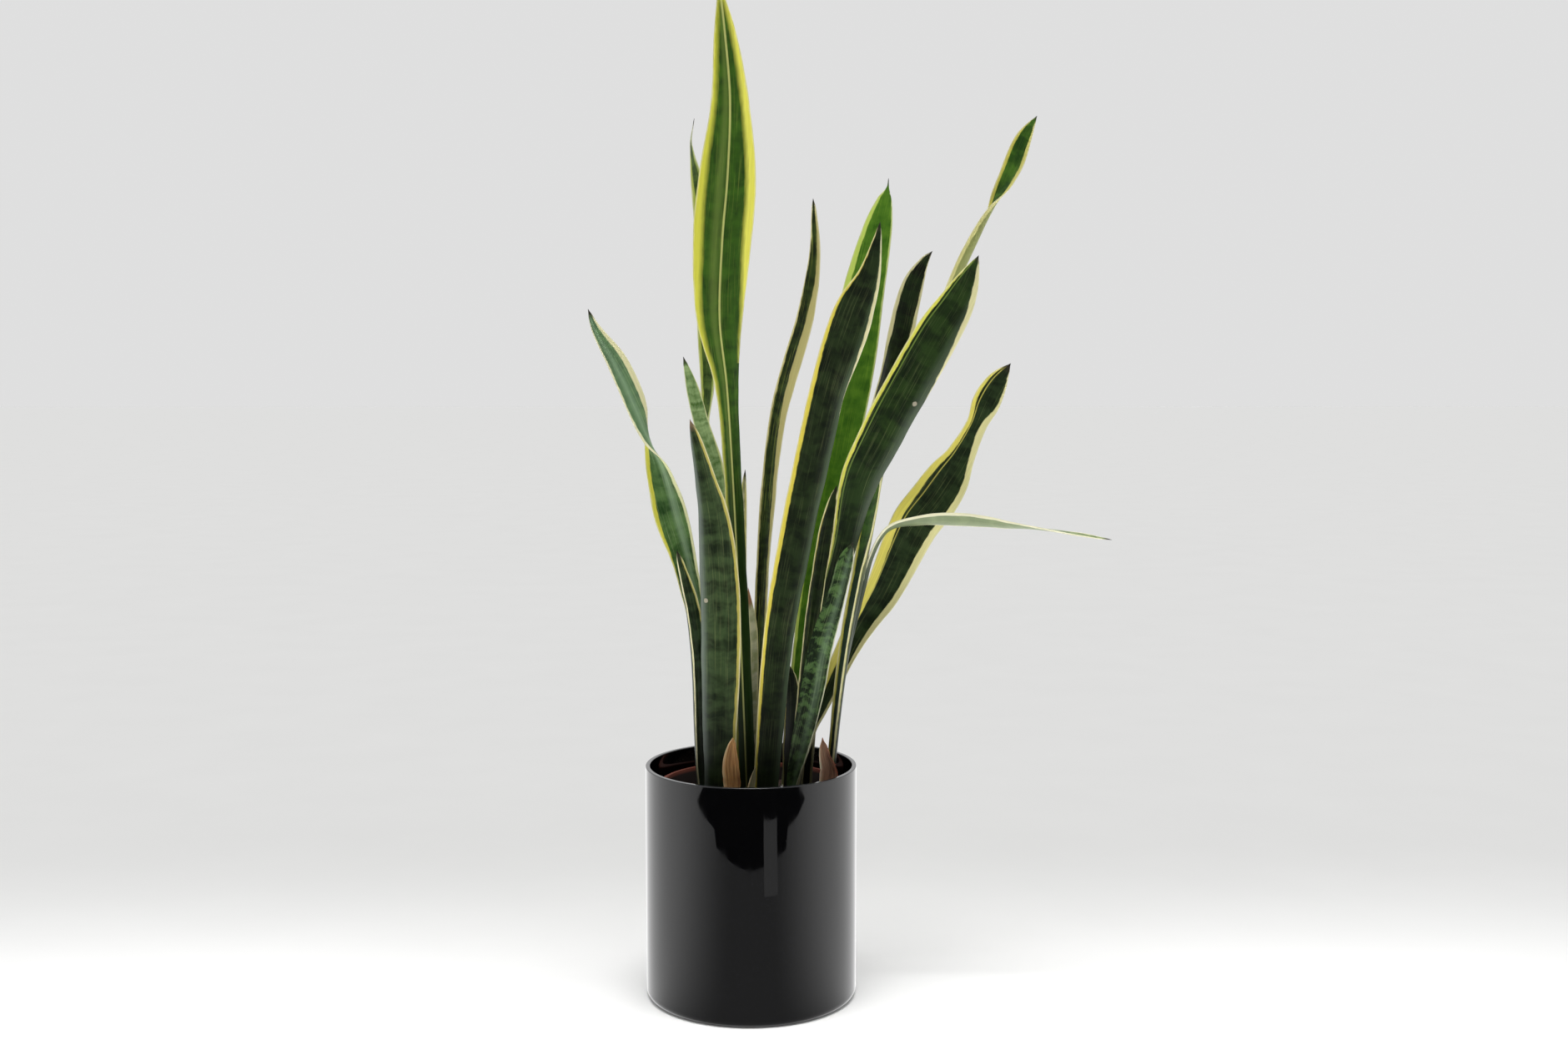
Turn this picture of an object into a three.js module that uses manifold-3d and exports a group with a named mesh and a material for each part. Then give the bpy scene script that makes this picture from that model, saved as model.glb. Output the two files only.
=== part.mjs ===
// A snake plant in a terracotta-coloured plastic nursery pot, which stands loose inside a
// glossy black cylinder cover pot. Millimetres, +Z up. The origin is the middle of the cover
// pot's underside, and -Y is the side that the plant is looked at from.
import * as THREE from 'three';
import { mergeVertices } from 'three/addons/utils/BufferGeometryUtils.js';
import Module from 'manifold-3d';

const wasm = await Module();
wasm.setup();

// Cover pot
const COVER_RADIUS = 120;
const COVER_HEIGHT = 266;
const COVER_WALL = 5;
const COVER_FLOOR = 7;
const COVER_FOOT_ROUND = 9;
const COVER_RIM_EASE = 0.8;

// Nursery pot, standing on the cover pot's floor
const FIT_GAP = 0.3;
const NURSERY_FOOT = COVER_FLOOR + FIT_GAP;
const NURSERY_TOP = 245;
const NURSERY_RIM_RADIUS = 105;
const NURSERY_TOP_RADIUS = 102.3;
const NURSERY_FOOT_RADIUS = 84;
const NURSERY_WALL = 1.8;
const NURSERY_FOOT_RING = 8;
const NURSERY_FLOOR_LIFT = 4;
const NURSERY_FLOOR = 2.2;
const NURSERY_SKIRT = 11;
const NURSERY_SKIRT_WALL = 1.4;
const NURSERY_RIM_ROUND = 1.2;
const DRAIN_HOLES = 8;
const DRAIN_CIRCLE = 52;
const DRAIN_RADIUS = 6;
const DRAIN_DRILL_LENGTH = 20;

// Potting soil, its sockets and the rhizomes under the leaves
const SOIL_TOP = 229;
const SOIL_EDGE_DROP = 3;
const SOIL_MOUND_RADIUS = 35;
const SOIL_SHOULDER_RADIUS = 70;
const SOIL_RIPPLE = 1;
const SOCKET_CLEARANCE = 0.5;
const SOCKET_EXTRA_DEPTH = 3;
const RHIZOME_RADIUS = 10;
const RHIZOME_WAIST = 0.9;
const RHIZOME_HEIGHT = 184.6;

// Leaf blades: thickness at the midrib near the base and near the tip, and at the margins
const BLADE_THICK_BASE = 4.6;
const BLADE_THICK_TIP = 2.4;
const BLADE_MARGIN_SHARE = 0.34;
const BLADE_THIN_BELOW_WIDTH = 14;
const BLADE_MIN_WIDTH = 1.5;
const BLADE_MIN_THICK = 0.9;
const FLAT_CURL = 1e-3;
const STEPS_PER_STRETCH = 2;
const ACROSS = [-1, -0.55, 0, 0.55, 1];
const SHEATH_THICK = 1.4;

const ROUND_SEGMENTS = 48;

const COVER_BLACK = { color: '#17181a', roughness: 0.12, metalness: 0 };
const TERRACOTTA = { color: '#9c5a44', roughness: 0.55, metalness: 0 };
const SOIL_BROWN = { color: '#241a13', roughness: 0.95, metalness: 0 };
const RHIZOME_BUFF = { color: '#b9a27a', roughness: 0.7, metalness: 0 };
const LEAF_GREEN = { color: '#33512c', roughness: 0.38, metalness: 0 };
const LEAF_BRIGHT = { color: '#4d7a22', roughness: 0.38, metalness: 0 };
const LEAF_MARBLED = { color: '#5f7d4e', roughness: 0.42, metalness: 0 };
const SHEATH_BROWN = { color: '#9a6f4c', roughness: 0.8, metalness: 0 };

const plant = new THREE.Group();

function addPiece(name, geometry, finish) {
  const mesh = new THREE.Mesh(geometry, new THREE.MeshStandardMaterial(finish));
  mesh.name = name;
  plant.add(mesh);
}

// ---------------------------------------------------------------- solids

function weldedSolid(geometry) {
  const bare = geometry.clone();
  bare.deleteAttribute('normal');
  bare.deleteAttribute('uv');
  const welded = mergeVertices(bare, 1e-3);
  const corners = welded.index.array;
  const kept = [];
  for (let i = 0; i < corners.length; i += 3) {
    const [a, b, c] = corners.slice(i, i + 3);
    if (a !== b && b !== c && c !== a) {
      kept.push(a, b, c);
    }
  }
  return new wasm.Manifold(new wasm.Mesh({
    numProp: 3,
    vertProperties: welded.attributes.position.array,
    triVerts: new Uint32Array(kept),
  }));
}

function geometryOf(solid) {
  const mesh = solid.getMesh();
  const geometry = new THREE.BufferGeometry();
  geometry.setAttribute('position', new THREE.BufferAttribute(mesh.vertProperties, 3));
  geometry.setIndex(new THREE.BufferAttribute(mesh.triVerts, 1));
  return geometry;
}

// A turned shape about the Z axis; the profile lists [radius, height] going up the outside.
function turned(profile, segments = ROUND_SEGMENTS) {
  const points = profile.map(([radius, height]) => new THREE.Vector2(radius, height));
  return new THREE.LatheGeometry(points, segments).rotateX(Math.PI / 2);
}

// Points of a quarter round about [centreRadius, centreHeight], from one angle to another.
function quarterRound(centreRadius, centreHeight, size, fromDegrees, toDegrees, steps) {
  const points = [];
  for (let i = 0; i <= steps; i += 1) {
    const angle = THREE.MathUtils.degToRad(fromDegrees + ((toDegrees - fromDegrees) * i) / steps);
    points.push([centreRadius + size * Math.cos(angle), centreHeight + size * Math.sin(angle)]);
  }
  return points;
}

// ---------------------------------------------------------------- cover pot

// One thick-walled cylinder: flat underside, rounded foot, flat-topped rim with eased edges.
function coverPot() {
  const inner = COVER_RADIUS - COVER_WALL;
  const footCentre = COVER_RADIUS - COVER_FOOT_ROUND;
  const rimCentre = COVER_HEIGHT - COVER_RIM_EASE;
  const innerRound = COVER_FOOT_ROUND - COVER_WALL;
  return turned([
    [0, 0],
    ...quarterRound(footCentre, COVER_FOOT_ROUND, COVER_FOOT_ROUND, -90, 0, 5),
    ...quarterRound(COVER_RADIUS - COVER_RIM_EASE, rimCentre, COVER_RIM_EASE, 0, 90, 2),
    ...quarterRound(inner + COVER_RIM_EASE, rimCentre, COVER_RIM_EASE, 90, 180, 2),
    ...quarterRound(inner - innerRound, COVER_FLOOR + innerRound, innerRound, 0, -90, 2),
    [0, COVER_FLOOR],
  ]);
}

// ---------------------------------------------------------------- nursery pot

function nurseryOuterRadius(height) {
  const share = (height - NURSERY_FOOT) / (NURSERY_TOP - NURSERY_FOOT);
  return NURSERY_FOOT_RADIUS + (NURSERY_TOP_RADIUS - NURSERY_FOOT_RADIUS) * share;
}

function nurseryInnerRadius(height) {
  return nurseryOuterRadius(height) - NURSERY_WALL;
}

// A tapered thin-walled pot on a foot ring, with a turned-down rim and drain holes.
function nurseryPot() {
  const underside = NURSERY_FOOT + NURSERY_FLOOR_LIFT;
  const floorTop = underside + NURSERY_FLOOR;
  const rimUnder = NURSERY_TOP - NURSERY_SKIRT_WALL;
  const skirtEnd = NURSERY_TOP - NURSERY_SKIRT;
  const skirtInner = NURSERY_RIM_RADIUS - NURSERY_SKIRT_WALL;
  const rimRoundRadius = NURSERY_RIM_RADIUS - NURSERY_RIM_ROUND;
  const rimRoundHeight = NURSERY_TOP - NURSERY_RIM_ROUND;
  const ringInner = NURSERY_FOOT_RADIUS - NURSERY_FOOT_RING;
  const shell = turned([
    [0, underside],
    [ringInner - NURSERY_FLOOR_LIFT, underside],
    [ringInner, NURSERY_FOOT],
    [NURSERY_FOOT_RADIUS, NURSERY_FOOT],
    [nurseryOuterRadius(rimUnder), rimUnder],
    [skirtInner, rimUnder],
    [skirtInner, skirtEnd],
    [NURSERY_RIM_RADIUS, skirtEnd],
    ...quarterRound(rimRoundRadius, rimRoundHeight, NURSERY_RIM_ROUND, 0, 90, 2),
    [nurseryInnerRadius(NURSERY_TOP), NURSERY_TOP],
    [nurseryInnerRadius(floorTop), floorTop],
    [0, floorTop],
  ]);
  let solid = weldedSolid(shell);
  for (let i = 0; i < DRAIN_HOLES; i += 1) {
    const angle = (i * 2 * Math.PI) / DRAIN_HOLES;
    const drill = new THREE.CylinderGeometry(DRAIN_RADIUS, DRAIN_RADIUS, DRAIN_DRILL_LENGTH, 12);
    drill.rotateX(Math.PI / 2);
    drill.translate(DRAIN_CIRCLE * Math.cos(angle), DRAIN_CIRCLE * Math.sin(angle), floorTop);
    solid = solid.subtract(weldedSolid(drill));
  }
  return geometryOf(solid);
}

// ---------------------------------------------------------------- leaves

// A leaf is a list of stations from its buried base to its tip. Each station holds x, y, z,
// the width of the blade laid flat, the turn of its face about the midrib (0 faces -Y and
// 90 faces -X), and how far its left and right margins curl up towards that face, in degrees.
const LEAVES = {
  leaf_tall: [LEAF_BRIGHT, [
    [-4, -36, 195, 24, 0, 60, 60],
    [-5, -37, 250, 25, 0, 60, 60],
    [-13, -44, 460, 25, 0, 65, 65],
    [-21, -53, 625, 24, 0, 62, 62],
    [-26, -59, 700, 30, 0, 50, 50],
    [-33, -66, 768, 52, 0, 32, 32],
    [-30, -75, 849, 64, 0, 22, 22],
    [-24, -82, 918, 62, 0, 20, 20],
    [-21, -89, 996, 41, 0, 18, 18],
    [-26, -95, 1064, 24, 0, 12, 12],
    [-32, -100, 1116, 2, 0, 5, 5],
  ]],
  leaf_slim_left: [LEAF_GREEN, [
    [-16, 12, 195, 20, 0, 55, 55],
    [-18, 12, 240, 20, 0, 55, 55],
    [-36, 16, 470, 16, 20, 60, 60],
    [-50, 27, 645, 14, 40, 55, 55],
    [-48, 32, 690, 17, 20, 40, 40],
    [-49, 39, 755, 23, 0, 25, 25],
    [-49, 51, 847, 27, 0, 20, 20],
    [-57, 60, 909, 19, 0, 15, 15],
    [-67, 69, 969, 8, 70, 5, 5],
    [-64, 74, 1000, 1.5, 90, 0, 0],
  ]],
  leaf_marbled_left: [LEAF_MARBLED, [
    [-27, -16, 195, 24, 0, 45, 45],
    [-28, -16, 245, 24, 0, 45, 45],
    [-34, -20, 475, 27, 0, 35, 35],
    [-37, -23, 570, 26, 0, 28, 28],
    [-42, -25, 610, 23, 0, 25, 25],
    [-53, -26, 650, 18, 0, 20, 20],
    [-64, -26, 693, 14, 0, 15, 15],
    [-74, -26, 728, 1.5, 0, 0, 0],
  ]],
  leaf_front_left: [LEAF_GREEN, [
    [-35, -56, 195, 34, 0, -20, 40],
    [-35, -57, 250, 34, 0, -30, 35],
    [-35, -60, 314, 40, 0, -40, 30],
    [-34, -63, 390, 46, 0, -45, 25],
    [-34, -65, 458, 47, 0, -45, 25],
    [-37, -69, 521, 43, 0, -45, 30],
    [-42, -74, 566, 34, 0, -40, 40],
    [-49, -79, 602, 24, 0, -30, 60],
    [-57, -84, 636, 15, 0, -20, 70],
    [-65, -88, 661, 1.5, 0, 0, 20],
  ]],
  leaf_twisted_left: [LEAF_GREEN, [
    [-44, -4, 195, 20, 0, 60, 60],
    [-46, -5, 240, 20, 0, 60, 60],
    [-58, -12, 415, 22, 0, 55, 55],
    [-74, -20, 498, 30, -10, 40, 40],
    [-88, -23, 550, 38, 0, 25, 25],
    [-101, -26, 605, 32, 30, 20, 20],
    [-112, -28, 636, 26, 90, 15, 15],
    [-122, -30, 670, 28, 145, 20, 20],
    [-146, -30, 722, 24, 165, 20, 20],
    [-169, -30, 758, 11, 170, 10, 10],
    [-178, -30, 780, 1.5, 170, 0, 0],
  ]],
  leaf_channelled_left: [LEAF_GREEN, [
    [-54, -37, 195, 22, -50, 70, 70],
    [-57, -38, 249, 22, -50, 70, 70],
    [-60, -38, 320, 26, -50, 75, 75],
    [-62, -38, 383, 28, -50, 80, 80],
    [-68, -38, 446, 27, -50, 75, 75],
    [-79, -38, 500, 12, -45, 60, 60],
    [-82, -38, 515, 1.5, -45, 30, 30],
  ]],
  leaf_sliver: [LEAF_GREEN, [
    [-8, -4, 195, 9, 0, 20, 20],
    [-8, -4, 240, 9, 0, 20, 20],
    [-9, -4, 470, 9, 0, 20, 20],
    [-8, -4, 573, 7, 0, 15, 15],
    [-6, -4, 602, 1.5, 0, 0, 0],
  ]],
  leaf_folded_middle: [LEAF_GREEN, [
    [8, 4, 195, 14, 30, 60, 60],
    [8, 4, 240, 14, 30, 60, 60],
    [11, 3, 377, 17, 30, 65, 65],
    [15, 1, 483, 20, 30, 65, 65],
    [24, 1, 589, 24, 35, 60, 65],
    [35, 4, 666, 27, 38, 50, 70],
    [50, 8, 723, 28, 35, 35, 80],
    [62, 12, 766, 25, 30, 25, 75],
    [70, 17, 813, 18, 15, 20, 40],
    [73, 22, 852, 12, 0, 15, 15],
    [72, 28, 890, 6, 0, 10, 10],
    [71, 31, 906, 1.5, 0, 0, 0],
  ]],
  leaf_brown_tipped: [LEAF_MARBLED, [
    [1, -15, 195, 9, 0, 40, 40],
    [1, -15, 243, 9, 0, 40, 40],
    [4, -15, 360, 9, 0, 40, 40],
    [3, -15, 423, 9, 0, 35, 35],
    [-3, -15, 470, 1.5, 0, 0, 0],
  ]],
  leaf_front_broad: [LEAF_GREEN, [
    [13, -48, 195, 26, 5, 50, 30],
    [14, -48, 250, 26, 5, 45, 10],
    [22, -49, 353, 31, 5, 40, -30],
    [32, -51, 426, 36, 5, 35, -45],
    [45, -55, 503, 39, 5, 30, -50],
    [72, -66, 637, 41, 5, 25, -50],
    [85, -74, 694, 42, 0, 20, -45],
    [98, -81, 738, 45, 0, 18, -10],
    [112, -88, 779, 43, 0, 15, 30],
    [126, -94, 813, 26, 0, 12, 20],
    [134, -101, 849, 10, 0, 10, 10],
    [137, -105, 869, 1.5, 0, 0, 0],
  ]],
  leaf_bright_back: [LEAF_BRIGHT, [
    [44, 52, 195, 24, 0, 50, 50],
    [46, 52, 235, 24, 0, 50, 50],
    [67, 56, 419, 32, 0, 35, 35],
    [92, 66, 563, 42, 0, 25, 25],
    [108, 76, 654, 49, 0, 18, 18],
    [121, 86, 726, 51, 0, 15, 15],
    [131, 97, 797, 50, 0, 12, 12],
    [149, 110, 876, 35, 0, 10, 10],
    [158, 116, 912, 18, 0, 8, 8],
    [162, 119, 927, 3, 0, 5, 5],
    [163, 121, 938, 1.5, 0, 0, 0],
  ]],
  leaf_right_broad: [LEAF_GREEN, [
    [49, 22, 195, 20, 0, 55, 55],
    [50, 21, 240, 20, 0, 55, 55],
    [70, 16, 378, 24, 0, 50, 45],
    [90, 0, 465, 27, 0, 45, 20],
    [105, -12, 521, 31, 0, 35, -20],
    [121, -28, 590, 46, 0, 25, -40],
    [140, -38, 632, 51, 0, 20, -40],
    [165, -42, 681, 52, 0, 18, -30],
    [203, -56, 752, 49, 0, 15, 5],
    [221, -63, 782, 41, 0, 12, 12],
    [233, -69, 807, 28, 0, 10, 10],
    [245, -76, 836, 1.5, 0, 0, 0],
  ]],
  leaf_inner_channel: [LEAF_GREEN, [
    [47, -31, 195, 12, 0, 45, 45],
    [48, -31, 246, 12, 0, 45, 45],
    [63, -33, 388, 18, 0, 60, 60],
    [72, -36, 463, 20, 0, 65, 65],
    [79, -38, 510, 22, 0, 70, 70],
    [84, -40, 540, 19, 0, 65, 65],
    [90, -41, 567, 11, 0, 50, 50],
    [95, -42, 587, 1.5, 0, 0, 0],
  ]],
  leaf_banded_right: [LEAF_MARBLED, [
    [43, -50, 195, 11, 0, 40, 40],
    [45, -50, 251, 13, 0, 40, 40],
    [55, -52, 300, 23, 0, 35, 35],
    [68, -55, 360, 27, 0, 30, 30],
    [77, -59, 410, 27, 0, 25, 25],
    [95, -67, 472, 20, 0, 20, 20],
    [104, -72, 508, 17, 0, 15, 15],
    [111, -75, 527, 1.5, 0, 0, 0],
  ]],
  leaf_short_dark: [LEAF_GREEN, [
    [44, -15, 195, 11, -20, 45, 40],
    [44, -15, 244, 12, -20, 45, 40],
    [46, -15, 290, 16, -20, 40, 35],
    [48, -16, 335, 16, -20, 35, 30],
    [47, -16, 366, 11, -20, 25, 25],
    [42, -16, 385, 1.5, -20, 0, 0],
  ]],
  leaf_bent_over: [LEAF_MARBLED, [
    [82, 15, 195, 13, 70, 60, 60],
    [88, 12, 240, 14, 75, 60, 60],
    [105, -4, 368, 13, 85, 60, 60],
    [128, 1, 465, 18, 90, 50, 50],
    [139, 3, 506, 23, 95, 40, 40],
    [156, 4, 533, 26, 105, 25, 25],
    [189, 2, 542, 28, 118, 18, 18],
    [236, 0, 543, 30, 125, 15, 15],
    [283, -2, 539, 24, 118, 12, 12],
    [330, -4, 534, 18, 95, 10, 10],
    [378, -4, 527, 10, 70, 8, 8],
    [408, -4, 522, 1.5, 60, 0, 0],
  ]],
  leaf_right_golden: [LEAF_GREEN, [
    [48, -2, 195, 14, 0, 60, 60],
    [49, -2, 240, 14, 5, 60, 60],
    [68, 4, 305, 20, 10, 65, 70],
    [86, 14, 341, 26, 10, 60, 80],
    [114, 24, 397, 34, 8, 50, 80],
    [131, 27, 427, 38, 5, 40, 65],
    [152, 34, 460, 45, 0, 28, 40],
    [188, 45, 534, 56, 0, 18, 18],
    [212, 51, 565, 57, 0, 15, 15],
    [229, 55, 590, 51, 0, 15, 15],
    [244, 60, 615, 34, 0, 15, 15],
    [262, 67, 649, 25, 0, 15, 15],
    [274, 73, 675, 33, 0, 12, 12],
    [288, 78, 700, 25, 0, 10, 10],
    [304, 83, 721, 1.5, 0, 0, 0],
  ]],
  leaf_far_right: [LEAF_BRIGHT, [
    [84, -8, 195, 15, 50, 70, 70],
    [91, -9, 246, 16, 50, 75, 75],
    [102, -18, 353, 20, 50, 80, 80],
    [113, -20, 427, 24, 50, 80, 80],
    [123, -18, 476, 26, 50, 75, 75],
    [135, -3, 536, 27, 55, 65, 65],
    [148, 13, 598, 26, 65, 50, 50],
    [166, 29, 660, 25, 80, 35, 35],
    [211, 46, 754, 24, 110, 25, 25],
    [245, 62, 833, 20, 130, 20, 20],
    [265, 69, 872, 18, 120, 15, 15],
    [280, 74, 899, 18, 80, 15, 15],
    [291, 78, 921, 21, 25, 15, 15],
    [305, 84, 952, 24, 0, 15, 15],
    [317, 89, 981, 19, 0, 12, 12],
    [333, 94, 1007, 1.5, 0, 0, 0],
  ]],
  leaf_dark_back: [LEAF_GREEN, [
    [62, 37, 195, 16, -20, 50, 50],
    [63, 37, 235, 16, -20, 50, 50],
    [78, 35, 421, 22, -30, 60, 50],
    [109, 40, 564, 29, -35, 65, 40],
    [142, 50, 662, 33, -35, 70, 35],
    [163, 60, 726, 34, -25, 50, 30],
    [174, 66, 759, 31, -5, 25, 25],
    [181, 72, 787, 29, 0, 18, 18],
    [190, 79, 816, 24, 0, 15, 15],
    [202, 84, 839, 11, 0, 10, 10],
    [212, 87, 851, 1.5, 0, 0, 0],
  ]],
};

// Dry brown leaf sheaths at the soil, thin and curled, in the same form as the leaves.
const SHEATHS = {
  dry_sheath_front: [
    [-20, -80, 218, 14, 0, 50, 50],
    [-20, -80, 250, 18, 0, 50, 50],
    [-22, -80, 280, 21, 5, 55, 50],
    [-21, -80, 300, 13, 10, 50, 50],
    [-20, -79, 313, 1.5, 10, 20, 20],
  ],
  dry_sheath_small: [
    [-2, -62, 218, 10, 20, 40, 40],
    [0, -62, 250, 9, 20, 40, 40],
    [5, -62, 277, 1.5, 20, 20, 20],
  ],
  dry_sheath_right: [
    [80, -26, 216, 16, -10, 50, 50],
    [85, -27, 246, 20, -5, 50, 50],
    [87, -28, 264, 21, 0, 50, 50],
    [83, -29, 282, 14, 10, 50, 50],
    [80, -30, 302, 1.5, 20, 20, 20],
  ],
};

function reachesAlong(stations) {
  const reaches = [0];
  for (let i = 1; i < stations.length; i += 1) {
    const [ax, ay, az] = stations[i - 1];
    const [bx, by, bz] = stations[i];
    reaches.push(reaches[i - 1] + Math.hypot(bx - ax, by - ay, bz - az));
  }
  return reaches;
}

// Every value of a station at share t of the stretch from station i to the next, on one
// smooth curve through all the stations.
function stationBetween(stations, reaches, i, t) {
  const stretch = reaches[i + 1] - reaches[i];
  const slope = (at, value) => {
    const before = Math.max(at - 1, 0);
    const after = Math.min(at + 1, stations.length - 1);
    return (stations[after][value] - stations[before][value]) / (reaches[after] - reaches[before]);
  };
  const startPull = t * (1 - t) * (1 - t) * stretch;
  const endPull = t * t * (t - 1) * stretch;
  const blend = t * t * (3 - 2 * t);
  return stations[i].map((start, value) => (
    start * (1 - blend) + stations[i + 1][value] * blend
      + startPull * slope(i, value) + endPull * slope(i + 1, value)
  ));
}

// One point of the blade's middle surface: its offset along the blade's side and face
// directions, and the slope of the surface there. Each half of the blade is a circular arc.
function acrossBlade(position, width, curlLeft, curlRight) {
  const side = Math.sign(position) || 1;
  const curl = THREE.MathUtils.degToRad(position < 0 ? curlLeft : curlRight);
  const bend = curl * Math.abs(position);
  const half = width / 2;
  if (Math.abs(curl) < FLAT_CURL) {
    return { out: half * position, rise: 0, bend: 0 };
  }
  return {
    out: (side * half * Math.sin(bend)) / curl,
    rise: (half * (1 - Math.cos(bend))) / curl,
    bend: side * bend,
  };
}

// A closed blade through the stations. Clearance makes it fatter all round, for sockets.
function blade(stations, thickBase, thickTip, clearance = 0, lastStretch = stations.length - 2) {
  const reaches = reachesAlong(stations);
  const total = reaches[reaches.length - 1];
  const rows = [];
  for (let i = 0; i <= lastStretch; i += 1) {
    for (let step = 0; step < STEPS_PER_STRETCH; step += 1) {
      const t = step / STEPS_PER_STRETCH;
      rows.push({ at: stationBetween(stations, reaches, i, t), share: reaches[i] / total });
    }
  }
  const end = stations[lastStretch + 1];
  rows.push({ at: end, share: reaches[lastStretch + 1] / total });

  const vertices = [];
  const towardsViewer = new THREE.Vector3(0, -1, 0);
  rows.forEach(({ at, share }, index) => {
    const [x, y, z, rawWidth, turn, curlLeft, curlRight] = at;
    const ahead = rows[Math.min(index + 1, rows.length - 1)].at;
    const behind = rows[Math.max(index - 1, 0)].at;
    const along = new THREE.Vector3(ahead[0] - behind[0], ahead[1] - behind[1], ahead[2] - behind[2]);
    along.normalize();
    const face = towardsViewer.clone().addScaledVector(along, -towardsViewer.dot(along)).normalize();
    face.applyAxisAngle(along, -THREE.MathUtils.degToRad(turn));
    const side = along.clone().cross(face);
    const width = Math.max(rawWidth, BLADE_MIN_WIDTH) + 2 * clearance;
    const taper = Math.min(1, width / BLADE_THIN_BELOW_WIDTH);
    const middle = Math.max((thickBase + (thickTip - thickBase) * share) * taper, BLADE_MIN_THICK);
    const ring = ACROSS.map((position) => {
      const { out, rise, bend } = acrossBlade(position, width, curlLeft, curlRight);
      const edge = Math.abs(position);
      const thick = middle * (1 - (1 - BLADE_MARGIN_SHARE) * edge * edge) + 2 * clearance;
      const point = new THREE.Vector3(x, y, z).addScaledVector(side, out).addScaledVector(face, rise);
      const normal = face.clone().multiplyScalar(Math.cos(bend)).addScaledVector(side, -Math.sin(bend));
      return { point, normal, half: thick / 2 };
    });
    ring.forEach(({ point, normal, half }) => {
      vertices.push(point.clone().addScaledVector(normal, half));
    });
    ring.reverse().forEach(({ point, normal, half }) => {
      vertices.push(point.clone().addScaledVector(normal, -half));
    });
  });

  const ringSize = 2 * ACROSS.length;
  const triangles = [];
  for (let row = 0; row + 1 < rows.length; row += 1) {
    for (let j = 0; j < ringSize; j += 1) {
      const a = row * ringSize + j;
      const b = row * ringSize + ((j + 1) % ringSize);
      triangles.push(a, b, b + ringSize, a, b + ringSize, a + ringSize);
    }
  }
  const top = (rows.length - 1) * ringSize;
  for (let j = 0; j + 1 < ACROSS.length; j += 1) {
    const back = ringSize - 1 - j;
    triangles.push(j + 1, j, back, j + 1, back, back - 1);
    triangles.push(top + j, top + j + 1, top + back - 1, top + j, top + back - 1, top + back);
  }
  const geometry = new THREE.BufferGeometry().setFromPoints(vertices);
  geometry.setIndex(triangles);
  return geometry;
}

// ---------------------------------------------------------------- rhizomes and soil

// Each rhizome lies level under a clump of leaves: its two ends as [x, y].
const RHIZOMES = {
  rhizome_left: [[-36, -56], [-45, -6]],
  rhizome_middle: [[0, -34], [-12, 16]],
  rhizome_front: [[14, -50], [46, -50]],
  rhizome_back: [[47, -12], [50, 48]],
  rhizome_right: [[79, -12], [79, 18]],
};

// A blunt spindle with shallow joints, turned about its own length and laid down.
function rhizome([start, end], clearance = 0) {
  const [startX, startY] = start;
  const [endX, endY] = end;
  const length = Math.hypot(endX - startX, endY - startY);
  const radius = RHIZOME_RADIUS + clearance;
  const profile = [
    ...quarterRound(0, -length / 2, radius, -90, 0, 3),
    [radius * RHIZOME_WAIST, -length / 6],
    [radius, 0],
    [radius * RHIZOME_WAIST, length / 6],
    ...quarterRound(0, length / 2, radius, 0, 90, 3),
  ];
  const geometry = turned(profile, 12);
  geometry.rotateY(Math.PI / 2);
  geometry.rotateZ(Math.atan2(endY - startY, endX - startX));
  return geometry.translate((startX + endX) / 2, (startY + endY) / 2, RHIZOME_HEIGHT);
}

// The root ball fills the nursery pot. Each leaf, sheath and rhizome sits in a socket cut in it.
function pottingSoil() {
  const bottom = NURSERY_FOOT + NURSERY_FLOOR_LIFT + NURSERY_FLOOR + FIT_GAP;
  const edge = SOIL_TOP - SOIL_EDGE_DROP;
  let solid = weldedSolid(turned([
    [0, bottom],
    [nurseryInnerRadius(bottom) - FIT_GAP, bottom],
    [nurseryInnerRadius(edge) - FIT_GAP, edge],
    [SOIL_SHOULDER_RADIUS, SOIL_TOP - SOIL_RIPPLE],
    [SOIL_MOUND_RADIUS, SOIL_TOP + SOIL_RIPPLE],
    [0, SOIL_TOP],
  ]));
  const cut = (geometry) => {
    solid = solid.subtract(weldedSolid(geometry));
  };
  const cutSocket = (stations, thickBase, thickTip) => {
    const socket = blade(stations, thickBase, thickTip, SOCKET_CLEARANCE, 0);
    const corners = socket.attributes.position;
    for (let j = 0; j < 2 * ACROSS.length; j += 1) {
      corners.setZ(j, corners.getZ(j) - SOCKET_EXTRA_DEPTH);
    }
    cut(socket);
  };
  Object.values(RHIZOMES).forEach((ends) => cut(rhizome(ends, SOCKET_CLEARANCE)));
  Object.values(LEAVES).forEach(([, stations]) => {
    cutSocket(stations, BLADE_THICK_BASE, BLADE_THICK_TIP);
  });
  Object.values(SHEATHS).forEach((stations) => cutSocket(stations, SHEATH_THICK, SHEATH_THICK));
  return geometryOf(solid);
}

// ---------------------------------------------------------------- the assembly

addPiece('cachepot', coverPot(), COVER_BLACK);
addPiece('nursery_pot', nurseryPot(), TERRACOTTA);
addPiece('potting_soil', pottingSoil(), SOIL_BROWN);
Object.entries(RHIZOMES).forEach(([name, ends]) => addPiece(name, rhizome(ends), RHIZOME_BUFF));
Object.entries(LEAVES).forEach(([name, [finish, stations]]) => {
  addPiece(name, blade(stations, BLADE_THICK_BASE, BLADE_THICK_TIP), finish);
});
Object.entries(SHEATHS).forEach(([name, stations]) => {
  addPiece(name, blade(stations, SHEATH_THICK, SHEATH_THICK), SHEATH_BROWN);
});

export default plant;
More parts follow.
